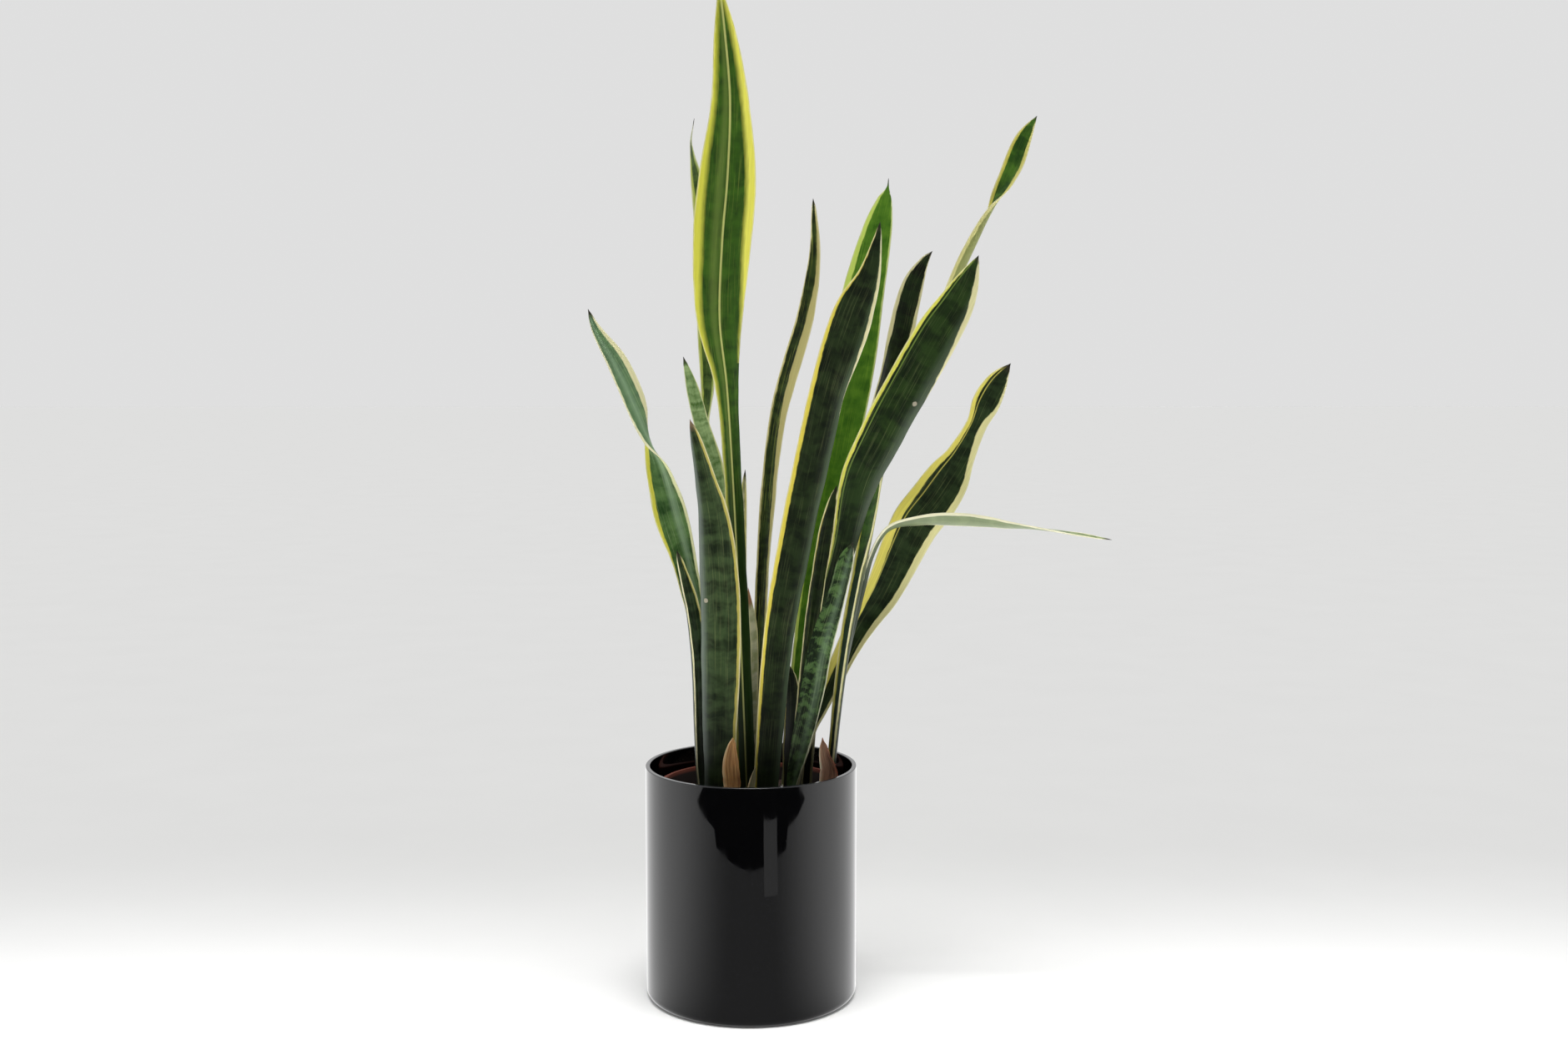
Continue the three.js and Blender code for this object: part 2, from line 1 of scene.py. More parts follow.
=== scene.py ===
"""A variegated snake plant in a terracotta-coloured nursery pot, loose inside a black glazed cover pot.

Metres, +Z up, the origin in the middle of the cover pot's underside. -Y is the side it is looked at from.
"""

import math
import random

import bmesh
import bpy
from mathutils import Matrix, Vector


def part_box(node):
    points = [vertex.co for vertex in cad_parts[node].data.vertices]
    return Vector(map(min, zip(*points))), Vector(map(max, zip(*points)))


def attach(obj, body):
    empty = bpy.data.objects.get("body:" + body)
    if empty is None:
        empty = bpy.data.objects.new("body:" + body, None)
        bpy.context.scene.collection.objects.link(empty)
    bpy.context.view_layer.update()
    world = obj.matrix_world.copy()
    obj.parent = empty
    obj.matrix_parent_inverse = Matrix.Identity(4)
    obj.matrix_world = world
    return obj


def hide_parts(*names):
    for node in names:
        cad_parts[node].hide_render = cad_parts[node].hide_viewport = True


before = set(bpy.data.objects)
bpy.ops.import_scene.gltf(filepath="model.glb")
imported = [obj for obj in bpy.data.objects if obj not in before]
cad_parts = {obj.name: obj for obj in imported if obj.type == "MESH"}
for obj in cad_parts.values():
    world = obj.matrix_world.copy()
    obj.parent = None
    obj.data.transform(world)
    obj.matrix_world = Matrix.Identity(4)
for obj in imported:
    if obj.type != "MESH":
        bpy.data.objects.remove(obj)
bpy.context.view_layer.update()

# ---------------------------------------------------------------- cover pot
# A slip-cast stoneware cylinder under a black gloss glaze, fired in one piece. The foot is softly
# rounded and the flat rim has eased edges, with a greyer painted highlight along the rim's top.

MM = 0.001
COVER_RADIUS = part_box("cachepot")[1].x
COVER_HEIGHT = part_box("cachepot")[1].z
COVER_WALL = 5 * MM
COVER_FLOOR = 7 * MM
COVER_FOOT_ROUND = 9 * MM
COVER_RIM_EASE = 0.8 * MM
COVER_BLACK = "#030304"
COVER_RIM_PAINTED_HIGHLIGHT = "#1b1c1e"


def linear(hex_colour):
    """A linear RGBA colour from an sRGB hex value."""
    channels = [int(hex_colour[i:i + 2], 16) / 255 for i in (1, 3, 5)]
    straight = [c / 12.92 if c <= 0.04045 else ((c + 0.055) / 1.055) ** 2.4 for c in channels]
    return (*straight, 1.0)


def add_node(tree, kind, inputs=None, **settings):
    """Adds a node. Inputs are by name or number: a value, a socket, or a node for its first output in use."""
    node = tree.nodes.new(kind)
    for name, value in settings.items():
        setattr(node, name, value)
    for key, value in (inputs or {}).items():
        if isinstance(key, int):
            socket = node.inputs[key]
        else:
            socket = next(s for s in node.inputs if s.enabled and s.name == key)
        if isinstance(value, bpy.types.Node):
            value = next(s for s in value.outputs if s.enabled)
        if isinstance(value, bpy.types.NodeSocket):
            tree.links.new(value, socket)
        else:
            socket.default_value = value
    return node


def new_material(name, **principled):
    """A material with one Principled shader, its constant values set on the shader's own sockets."""
    material = bpy.data.materials.new(name)
    material.use_nodes = True
    shader = material.node_tree.nodes["Principled BSDF"]
    for socket, value in principled.items():
        shader.inputs[socket.replace("_", " ")].default_value = value
    return material, material.node_tree, shader


def place(name, mesh, materials=()):
    """Puts a mesh into the scene as a smooth-shaded object."""
    piece = bpy.data.objects.new(name, mesh)
    bpy.context.scene.collection.objects.link(piece)
    for material in materials:
        mesh.materials.append(material)
    for polygon in mesh.polygons:
        polygon.use_smooth = True
    return piece


def round_corner(centre_radius, centre_height, size, from_degrees, to_degrees, steps):
    """Points of an arc about [centre_radius, centre_height] on a turned profile."""
    points = []
    for i in range(steps + 1):
        angle = math.radians(from_degrees + (to_degrees - from_degrees) * i / steps)
        points.append((centre_radius + size * math.cos(angle), centre_height + size * math.sin(angle)))
    return points


def turned(name, profile, segments, longest=None, support=0.5 * MM):
    """A mesh turned about Z. The profile lists (radius, height) up the outside, and may start and
    end on the axis. Stretches longer than longest are divided, with support rings that keep
    their ends straight."""
    points = [profile[0]]
    for start, end in zip(profile, profile[1:]):
        length = math.dist(start, end)
        parts = max(1, math.ceil(length / longest)) if longest else 1
        shares = [i / parts for i in range(1, parts + 1)]
        if parts > 1:
            shares = [support / length, *shares[:-1], 1 - support / length, 1]
        for share in shares:
            points.append((start[0] + (end[0] - start[0]) * share, start[1] + (end[1] - start[1]) * share))
    mesh = bmesh.new()
    rings = []
    for radius, height in points:
        if radius < 1e-6:
            rings.append([mesh.verts.new((0, 0, height))])
            continue
        rings.append([
            mesh.verts.new((
                radius * math.cos(2 * math.pi * i / segments),
                radius * math.sin(2 * math.pi * i / segments),
                height,
            ))
            for i in range(segments)
        ])
    for lower, upper in zip(rings, rings[1:]):
        for i in range(segments):
            j = (i + 1) % segments
            corners = [lower[i % len(lower)], lower[j % len(lower)], upper[j % len(upper)],
                       upper[i % len(upper)]]
            mesh.faces.new(list(dict.fromkeys(corners)))
    data = bpy.data.meshes.new(name)
    mesh.to_mesh(data)
    mesh.free()
    return data


# Gloss glaze on stoneware: the eye gets clean, slightly wavering reflections that grow paler towards
# the pot's sides, a greyer painted highlight along the top of the rim, and faint wiping marks.
glaze, tree, shader = new_material("black_gloss_glaze", Roughness=0.05, IOR=1.5)
coords = add_node(tree, "ShaderNodeTexCoord").outputs["Object"]
waver = add_node(tree, "ShaderNodeTexNoise", {"Vector": coords, "Scale": 1 / (45 * MM), "Detail": 1.0})
wipes_at = add_node(tree, "ShaderNodeMapping", {"Vector": coords, "Scale": (1.0, 1.0, 0.18)})
wipes = add_node(tree, "ShaderNodeTexNoise", {"Vector": wipes_at, "Scale": 1 / (9 * MM), "Detail": 4.0})
dust = add_node(tree, "ShaderNodeTexVoronoi", {"Vector": coords, "Scale": 1 / (14 * MM)})
speck = add_node(tree, "ShaderNodeMapRange", {"Value": dust.outputs["Distance"], "From Min": 0.035,
                                              "From Max": 0.05,
                                              "To Min": 0.3, "To Max": 0.0})
height_up = add_node(tree, "ShaderNodeSeparateXYZ", {"Vector": coords}).outputs["Z"]
# Painted highlight: the top 1.6 mm of the pot is painted greyer than the black glaze.
near_rim = add_node(tree, "ShaderNodeMapRange", {"Value": height_up, "From Min": COVER_HEIGHT - 1.6 * MM,
                                                 "From Max": COVER_HEIGHT})
thin = add_node(tree, "ShaderNodeMix", {"Factor": near_rim, "A": linear(COVER_BLACK),
                                        "B": linear(COVER_RIM_PAINTED_HIGHLIGHT)},
                data_type="RGBA")
rough = add_node(tree, "ShaderNodeMapRange", {"Value": wipes, "From Min": 0.35, "From Max": 0.75,
                                              "To Min": 0.015, "To Max": 0.09})
rough = add_node(tree, "ShaderNodeMath", {0: rough, 1: speck}, operation="ADD")
bump = add_node(tree, "ShaderNodeBump", {"Height": waver, "Strength": 1.0, "Distance": 0.12 * MM})
tree.links.new(thin.outputs[2], shader.inputs["Base Color"])
tree.links.new(rough.outputs[0], shader.inputs["Roughness"])
tree.links.new(bump.outputs["Normal"], shader.inputs["Normal"])

cover_inner = COVER_RADIUS - COVER_WALL
rim_centre = COVER_HEIGHT - COVER_RIM_EASE
inner_round = COVER_FOOT_ROUND - COVER_WALL
cover_profile = [
    (0, 0),
    *round_corner(COVER_RADIUS - COVER_FOOT_ROUND, COVER_FOOT_ROUND, COVER_FOOT_ROUND, -90, 0, 14),
    *round_corner(COVER_RADIUS - COVER_RIM_EASE, rim_centre, COVER_RIM_EASE, 0, 90, 6),
    *round_corner(cover_inner + COVER_RIM_EASE, rim_centre, COVER_RIM_EASE, 90, 180, 6),
    *round_corner(cover_inner - inner_round, COVER_FLOOR + inner_round, inner_round, 0, -90, 6),
    (0, COVER_FLOOR),
]
cover_pot = place("glazed_cover_pot", turned("glazed_cover_pot", cover_profile, 224, longest=12 * MM),
                  [glaze])
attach(cover_pot, "cover_pot")
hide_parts("cachepot")

# ---------------------------------------------------------------- nursery pot
# An injection-moulded polypropylene grower's pot in terracotta colour, loose in the cover pot. It
# tapers to a foot ring, its rim is turned down, and drain holes pierce its floor.

NURSERY_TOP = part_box("nursery_pot")[1].z
NURSERY_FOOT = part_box("nursery_pot")[0].z
NURSERY_RIM_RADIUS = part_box("nursery_pot")[1].x
NURSERY_TOP_RADIUS = 102.3 * MM
NURSERY_FOOT_RADIUS = 84 * MM
NURSERY_WALL = 1.8 * MM
NURSERY_FOOT_RING = 8 * MM
NURSERY_FLOOR_LIFT = 4 * MM
NURSERY_FLOOR = 2.2 * MM
NURSERY_SKIRT = 11 * MM
NURSERY_SKIRT_WALL = 1.4 * MM
NURSERY_RIM_ROUND = 1.2 * MM
DRAIN_HOLES = 8
DRAIN_CIRCLE = 52 * MM
DRAIN_RADIUS = 6 * MM
TERRACOTTA = "#753a2b"
TERRACOTTA_DUSTY = "#935843"
INSIDE_WALL_PAINTED_SHADE = "#0d0605"


def nursery_inner_radius(height):
    """The inside radius of the nursery pot's tapered wall at a height."""
    share = (height - NURSERY_FOOT) / (NURSERY_TOP - NURSERY_FOOT)
    return NURSERY_FOOT_RADIUS + (NURSERY_TOP_RADIUS - NURSERY_FOOT_RADIUS) * share - NURSERY_WALL


def settled(piece):
    """Applies a piece's modifiers: the evaluated mesh becomes its own, and the modifiers go."""
    depsgraph = bpy.context.evaluated_depsgraph_get()
    mesh = bpy.data.meshes.new_from_object(piece.evaluated_get(depsgraph), depsgraph=depsgraph)
    piece.modifiers.clear()
    piece.data = mesh
    return piece


# Moulded polypropylene, satin from the mould: a soft broad gloss, with a chalky dust of dried
# watering marks in soft patches on the wall, and painted shade inside, nearly black below the rim.
plastic, tree, shader = new_material("moulded_terracotta_polypropylene", Roughness=0.5, IOR=1.49)
coords = add_node(tree, "ShaderNodeTexCoord").outputs["Object"]
marks_at = add_node(tree, "ShaderNodeMapping", {"Vector": coords, "Scale": (1.0, 1.0, 0.45)})
marks = add_node(tree, "ShaderNodeTexNoise", {"Vector": marks_at, "Scale": 1 / (24 * MM), "Detail": 3.0})
grain = add_node(tree, "ShaderNodeTexNoise", {"Vector": coords, "Scale": 1 / (0.9 * MM), "Detail": 2.0})
dusty = add_node(tree, "ShaderNodeMapRange", {"Value": marks, "From Min": 0.5, "From Max": 0.8,
                                              "To Min": 0.0, "To Max": 0.35})
colour = add_node(tree, "ShaderNodeMix", {"Factor": dusty, "A": linear(TERRACOTTA),
                                          "B": linear(TERRACOTTA_DUSTY)},
                  data_type="RGBA")
parts = add_node(tree, "ShaderNodeSeparateXYZ", {"Vector": coords}).outputs
flat = add_node(tree, "ShaderNodeCombineXYZ", {"X": parts["X"], "Y": parts["Y"]})
from_axis = add_node(tree, "ShaderNodeVectorMath", {0: flat}, operation="LENGTH").outputs["Value"]
# Painted shade: the inside of the wall, from just below the rim down, is painted nearly black.
mid_wall = add_node(tree, "ShaderNodeMapRange", {
    "Value": parts["Z"], "From Min": NURSERY_FOOT, "From Max": NURSERY_TOP,
    "To Min": NURSERY_FOOT_RADIUS - NURSERY_WALL / 2, "To Max": NURSERY_TOP_RADIUS - NURSERY_WALL / 2,
})
inside = add_node(tree, "ShaderNodeMath", {0: from_axis, 1: mid_wall}, operation="LESS_THAN")
below_rim = add_node(tree, "ShaderNodeMapRange", {"Value": parts["Z"], "From Min": NURSERY_TOP - 5 * MM,
                                                  "From Max": NURSERY_TOP - 2 * MM,
                                                   "To Min": 0.97, "To Max": 0.0})
# Painted shade inside the pot's wall, not a stain.
stain_and_painted_shade = add_node(tree, "ShaderNodeMath", {0: inside, 1: below_rim}, operation="MULTIPLY")
colour = add_node(tree, "ShaderNodeMix", {"Factor": stain_and_painted_shade, "A": colour.outputs[2], "B": linear(INSIDE_WALL_PAINTED_SHADE)},
                  data_type="RGBA")
rough = add_node(tree, "ShaderNodeMapRange", {"Value": marks, "From Min": 0.3, "From Max": 0.7,
                                              "To Min": 0.46, "To Max": 0.58})
bump = add_node(tree, "ShaderNodeBump", {"Height": grain, "Strength": 0.5, "Distance": 0.05 * MM})
tree.links.new(colour.outputs[2], shader.inputs["Base Color"])
tree.links.new(rough.outputs[0], shader.inputs["Roughness"])
tree.links.new(bump.outputs["Normal"], shader.inputs["Normal"])

underside = NURSERY_FOOT + NURSERY_FLOOR_LIFT
floor_top = underside + NURSERY_FLOOR
rim_under = NURSERY_TOP - NURSERY_SKIRT_WALL
skirt_end = NURSERY_TOP - NURSERY_SKIRT
skirt_inner = NURSERY_RIM_RADIUS - NURSERY_SKIRT_WALL
ring_inner = NURSERY_FOOT_RADIUS - NURSERY_FOOT_RING
nursery_profile = [
    (0, underside),
    (ring_inner - NURSERY_FLOOR_LIFT, underside),
    (ring_inner, NURSERY_FOOT),
    (NURSERY_FOOT_RADIUS, NURSERY_FOOT),
    (nursery_inner_radius(rim_under) + NURSERY_WALL, rim_under),
    (skirt_inner, rim_under),
    (skirt_inner, skirt_end),
    *round_corner(NURSERY_RIM_RADIUS - 0.4 * MM, skirt_end + 0.4 * MM, 0.4 * MM, -90, 0, 4),
    *round_corner(NURSERY_RIM_RADIUS - NURSERY_RIM_ROUND, NURSERY_TOP - NURSERY_RIM_ROUND,
                  NURSERY_RIM_ROUND, 0, 90, 5),
    (nursery_inner_radius(NURSERY_TOP), NURSERY_TOP),
    (nursery_inner_radius(floor_top), floor_top),
    (0, floor_top),
]
nursery_pot = place("moulded_nursery_pot", turned("moulded_nursery_pot", nursery_profile, 160), [plastic])
drills = bmesh.new()
for i in range(DRAIN_HOLES):
    angle = 2 * math.pi * i / DRAIN_HOLES
    centre = Vector((DRAIN_CIRCLE * math.cos(angle), DRAIN_CIRCLE * math.sin(angle), floor_top))
    bmesh.ops.create_cone(drills, cap_ends=True, segments=32, radius1=DRAIN_RADIUS, radius2=DRAIN_RADIUS,
                          depth=20 * MM, matrix=Matrix.Translation(centre))
drill_mesh = bpy.data.meshes.new("drain_drills")
drills.to_mesh(drill_mesh)
drills.free()
drain_drills = place("drain_drills", drill_mesh)
holes = nursery_pot.modifiers.new("drain_holes", "BOOLEAN")
holes.object = drain_drills
holes.solver = "EXACT"
edges = nursery_pot.modifiers.new("crisp_edges", "EDGE_SPLIT")
edges.split_angle = math.radians(40)
settled(nursery_pot)
bpy.data.objects.remove(drain_drills)
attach(nursery_pot, "inner_pot")
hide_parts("nursery_pot")

# ---------------------------------------------------------------- potting soil
# Dark bark compost that fills the nursery pot: a pressed root ball with fine feeder roots on its
# side, and a loose top of bark chips and white perlite crumbs.

SOIL_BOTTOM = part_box("potting_soil")[0].z
SOIL_TOP = 229 * MM
SOIL_EDGE_DROP = 3 * MM
SOIL_LUMPS = 1.6 * MM
ROOT_RADIUS = 0.7 * MM
ROOT_GAP = 0.4 * MM
ROOTS = 90
SOIL_DARK = "#120c08"
SOIL_BROWN = "#33241a"
BARK_DARK = "#1d130c"
BARK_RED = "#4f3524"
PERLITE = "#c9c4b8"
ROOT_CREAM = "#a08a63"


def run_tree(piece, tree, **values):
    """Runs a Geometry Nodes tree on a piece with values for its inputs, and keeps the result as its mesh."""
    modifier = piece.modifiers.new(tree.name, "NODES")
    modifier.node_group = tree
    for socket in tree.interface.items_tree:
        key = socket.name.replace(" ", "_")
        if socket.in_out == "INPUT" and key in values:
            modifier[socket.identifier] = values[key]
    return settled(piece)


def new_tree(name, kind, inputs, outputs):
    """A node group with named inputs (kind and default) and outputs. Gives the tree and its two end nodes."""
    tree = bpy.data.node_groups.new(name, kind)
    for socket_name, (socket_kind, default) in inputs.items():
        socket = tree.interface.new_socket(socket_name, in_out="INPUT", socket_type=socket_kind)
        if default is not None:
            socket.default_value = default
    for socket_name, socket_kind in outputs.items():
        tree.interface.new_socket(socket_name, in_out="OUTPUT", socket_type=socket_kind)
    return tree, tree.nodes.new("NodeGroupInput"), tree.nodes.new("NodeGroupOutput")


def crumbly(name, dark, light, grain, roughness, relief):
    """A rough material that varies between two colours over a grain size in metres."""
    material, tree, shader = new_material(name, Roughness=roughness)
    coords = add_node(tree, "ShaderNodeTexCoord").outputs["Object"]
    patches = add_node(tree, "ShaderNodeTexNoise", {"Vector": coords, "Scale": 1 / (grain * 4),
                                                    "Detail": 6.0})
    fine = add_node(tree, "ShaderNodeTexNoise", {"Vector": coords, "Scale": 1 / grain, "Detail": 3.0})
    level = add_node(tree, "ShaderNodeMapRange", {"Value": patches, "From Min": 0.35, "From Max": 0.68})
    colour = add_node(tree, "ShaderNodeMix", {"Factor": level, "A": linear(dark), "B": linear(light)},
                      data_type="RGBA")
    bump = add_node(tree, "ShaderNodeBump", {"Height": fine, "Strength": 0.8, "Distance": relief})
    tree.links.new(colour.outputs[2], shader.inputs["Base Color"])
    tree.links.new(bump.outputs["Normal"], shader.inputs["Normal"])
    return material


# Damp compost: nearly black between the lumps, brown where it has dried on top.
compost = crumbly("damp_bark_compost", SOIL_DARK, SOIL_BROWN, 1.5 * MM, 0.92, 0.8 * MM)
# Composted bark: torn dry chips, redder and paler than the compost, which break up the surface.
bark = crumbly("composted_pine_bark", BARK_DARK, BARK_RED, 1.2 * MM, 0.85, 0.3 * MM)
# Expanded perlite: chalk-white glassy crumbs, stained by the compost.
perlite = crumbly("expanded_perlite", PERLITE, "#efece4", 0.6 * MM, 0.9, 0.2 * MM)
# Living feeder roots: cream threads, browner where soil clings.
root_skin = crumbly("feeder_root_skin", "#6a5538", ROOT_CREAM, 1.0 * MM, 0.75, 0.1 * MM)

side_gap = 1.6 * MM
soil_edge = SOIL_TOP - SOIL_EDGE_DROP
soil_profile = [
    (0, SOIL_BOTTOM),
    (nursery_inner_radius(SOIL_BOTTOM) - side_gap, SOIL_BOTTOM),
    (nursery_inner_radius(soil_edge) - side_gap, soil_edge),
    (70 * MM, SOIL_TOP - 1 * MM),
    (35 * MM, SOIL_TOP + 1 * MM),
    (0, SOIL_TOP),
]
soil_mesh = turned("compost_root_ball", soil_profile, 128, longest=5 * MM)
lumps = random.Random(4)
for vertex in soil_mesh.vertices:
    out = Vector((vertex.co.x, vertex.co.y, 0))
    lump = SOIL_LUMPS * (lumps.random() - 0.5)
    if vertex.co.z > soil_edge - 1 * MM:
        vertex.co.z += lump * 1.4
    elif out.length > 70 * MM:
        vertex.co -= out.normalized() * abs(lump) * 0.7

# The scatter: crumbs stand on the top of the soil, each turned and sized by chance.
scatter, group_in, group_out = new_tree(
    "soil crumbs", "GeometryNodeTree",
    {
        "Geometry": ("NodeSocketGeometry", None),
        "Spacing": ("NodeSocketFloat", 5 * MM),
        "Density": ("NodeSocketFloat", 20000.0),
        "Crumb Length": ("NodeSocketFloat", 6 * MM),
        "Crumb Width": ("NodeSocketFloat", 3 * MM),
        "Above Height": ("NodeSocketFloat", 0.0),
        "Seed": ("NodeSocketInt", 0),
        "Material": ("NodeSocketMaterial", None),
    },
    {"Geometry": "NodeSocketGeometry"},
)
give = group_in.outputs
place_z = add_node(scatter, "ShaderNodeSeparateXYZ",
                   {"Vector": add_node(scatter, "GeometryNodeInputPosition")})
on_top = add_node(scatter, "FunctionNodeCompare", {"A": place_z.outputs["Z"], "B": give["Above Height"]},
                  operation="GREATER_THAN")
spots = add_node(scatter, "GeometryNodeDistributePointsOnFaces", {
    "Mesh": give["Geometry"], "Selection": on_top, "Distance Min": give["Spacing"],
    "Density Max": give["Density"], "Seed": give["Seed"],
}, distribute_method="POISSON")
crumb = add_node(scatter, "GeometryNodeMeshIcoSphere", {"Radius": 0.5, "Subdivisions": 1})
crumb_size = add_node(scatter, "ShaderNodeCombineXYZ", {
    "X": give["Crumb Length"], "Y": give["Crumb Width"], "Z": give["Crumb Width"],
})
rough_shape = add_node(scatter, "ShaderNodeTexNoise", {"Scale": 2.3})
shaped = add_node(scatter, "GeometryNodeSetPosition", {
    "Geometry": crumb,
    "Offset": add_node(scatter, "ShaderNodeVectorMath", {0: rough_shape.outputs["Color"], 1: (0.5, 0.5, 0.5)},
                       operation="SUBTRACT"),
})
turns = add_node(scatter, "FunctionNodeRandomValue", {
    "Min": (-0.5, -0.5, 0.0), "Max": (0.5, 0.5, 6.28), "Seed": give["Seed"],
}, data_type="FLOAT_VECTOR")
sizes = add_node(scatter, "FunctionNodeRandomValue", {"Min": 0.45, "Max": 1.25, "Seed": give["Seed"]},
                 data_type="FLOAT")
crumbs = add_node(scatter, "GeometryNodeInstanceOnPoints", {
    "Points": spots.outputs["Points"], "Instance": shaped, "Rotation": turns,
    "Scale": add_node(scatter, "ShaderNodeVectorMath", {0: crumb_size, "Scale": sizes}, operation="SCALE"),
})
solid_crumbs = add_node(scatter, "GeometryNodeRealizeInstances", {"Geometry": crumbs})
finished = add_node(scatter, "GeometryNodeSetMaterial",
                    {"Geometry": solid_crumbs, "Material": give["Material"]})
scatter.links.new(finished.outputs["Geometry"], group_out.inputs["Geometry"])

# The roots: threads that follow given paths, thinner towards their ends.
threads, group_in, group_out = new_tree(
    "root threads", "GeometryNodeTree",
    {
        "Geometry": ("NodeSocketGeometry", None),
        "Radius": ("NodeSocketFloat", ROOT_RADIUS),
        "Material": ("NodeSocketMaterial", None),
    },
    {"Geometry": "NodeSocketGeometry"},
)
paths = add_node(threads, "GeometryNodeMeshToCurve", {"Mesh": group_in.outputs["Geometry"]})
along = add_node(threads, "GeometryNodeSplineParameter")
thinner = add_node(threads, "ShaderNodeMapRange", {"Value": along.outputs["Factor"], "To Min": 1.0,
                                                   "To Max": 0.25})
ring = add_node(threads, "GeometryNodeCurvePrimitiveCircle",
                {"Resolution": 6, "Radius": group_in.outputs["Radius"]})
tubes = add_node(threads, "GeometryNodeCurveToMesh", {
    "Curve": paths, "Profile Curve": ring, "Scale": thinner, "Fill Caps": True,
})
solid_tubes = add_node(threads, "GeometryNodeRealizeInstances", {"Geometry": tubes})
finished = add_node(threads, "GeometryNodeSetMaterial", {
    "Geometry": solid_tubes, "Material": group_in.outputs["Material"],
})
threads.links.new(finished.outputs["Geometry"], group_out.inputs["Geometry"])

root_paths = bmesh.new()
wander = random.Random(11)
for _ in range(ROOTS):
    angle = wander.uniform(0, 2 * math.pi)
    height = wander.uniform(60 * MM, soil_edge - 15 * MM)
    drift = wander.uniform(-0.02, 0.02)
    previous = None
    for step in range(wander.randint(12, 34)):
        reach = nursery_inner_radius(height) - ROOT_RADIUS - ROOT_GAP
        vertex = root_paths.verts.new((reach * math.cos(angle), reach * math.sin(angle), height))
        if previous:
            root_paths.edges.new((previous, vertex))
        previous = vertex
        drift += wander.uniform(-0.012, 0.012)
        angle += drift
        height = max(SOIL_BOTTOM + 2 * MM, height - wander.uniform(0.5, 4.5) * MM)
root_mesh = bpy.data.meshes.new("feeder_roots")
root_paths.to_mesh(root_mesh)
root_paths.free()

soil = place("compost_root_ball", soil_mesh, [compost])
chips = place("bark_chips", soil_mesh.copy())
run_tree(chips, scatter, Spacing=3.4 * MM, Density=60000.0, Crumb_Length=7 * MM, Crumb_Width=3 * MM,
         Above_Height=soil_edge - 0.5 * MM, Seed=3, Material=bark)
crumbs_white = place("perlite_crumbs", soil_mesh.copy())
run_tree(crumbs_white, scatter, Spacing=11 * MM, Density=4000.0, Crumb_Length=3.2 * MM, Crumb_Width=2.6 * MM,
         Above_Height=soil_edge - 0.5 * MM, Seed=8, Material=perlite)
roots = place("feeder_roots", root_mesh)
run_tree(roots, threads, Radius=ROOT_RADIUS, Material=root_skin)
for piece in (soil, chips, crumbs_white, roots):
    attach(piece, "root_ball")
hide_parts("potting_soil")

# ---------------------------------------------------------------- rhizomes
# The plant's own underground stems, thick as a finger, buried in the soil. Each joins the leaves of
# one clump, and is ringed with the scars of old leaves.

# Rhizome skin: buff and papery over waxy flesh, with darker rings every 7 mm where leaves fell.
rhizome_skin, tree, shader = new_material("papery_rhizome_skin", Roughness=0.62, Specular_IOR_Level=0.4)
coords = add_node(tree, "ShaderNodeTexCoord").outputs["Object"]
scars = add_node(tree, "ShaderNodeTexWave", {"Vector": coords, "Scale": 0.31 / (7 * MM), "Distortion": 3.0,
                                             "Detail": 2.0}, bands_direction="Y")
patches = add_node(tree, "ShaderNodeTexNoise", {"Vector": coords, "Scale": 1 / (6 * MM), "Detail": 5.0})
ringed = add_node(tree, "ShaderNodeMix", {"Factor": scars, "A": linear("#8f744a"), "B": linear("#c7ad80")},
                  data_type="RGBA")
stain_and_painted_shade = add_node(tree, "ShaderNodeMix", {"Factor": patches, "A": ringed.outputs[2], "B": linear("#5a4127")},
                   data_type="RGBA")
bump = add_node(tree, "ShaderNodeBump", {"Height": scars, "Strength": 0.7, "Distance": 0.5 * MM})
tree.links.new(stain_and_painted_shade.outputs[2], shader.inputs["Base Color"])
tree.links.new(bump.outputs["Normal"], shader.inputs["Normal"])
for name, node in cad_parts.items():
    if name.startswith("rhizome_"):
        for slot in node.material_slots:
            slot.material = rhizome_skin

# ---------------------------------------------------------------- leaves
# The leaves of a variegated snake plant: stiff, fleshy blades with no stalk, which grow from the
# rhizomes and channel, twist or fold as they rise. Dark green with paler cross bands, yellow edges.

BLADE_SIDES = 28
BLADE_ROWS_PER_STRETCH = 9
BLADE_THICK_BASE = 4.6
BLADE_THICK_TIP = 2.4
BLADE_THIN_BELOW_WIDTH = 14
BLADE_MIN_THICK = 0.9
BLADE_TIP_ROUND = 9
BLADE_RIPPLE = 0.8 * MM
LEAST_CURL = 0.001


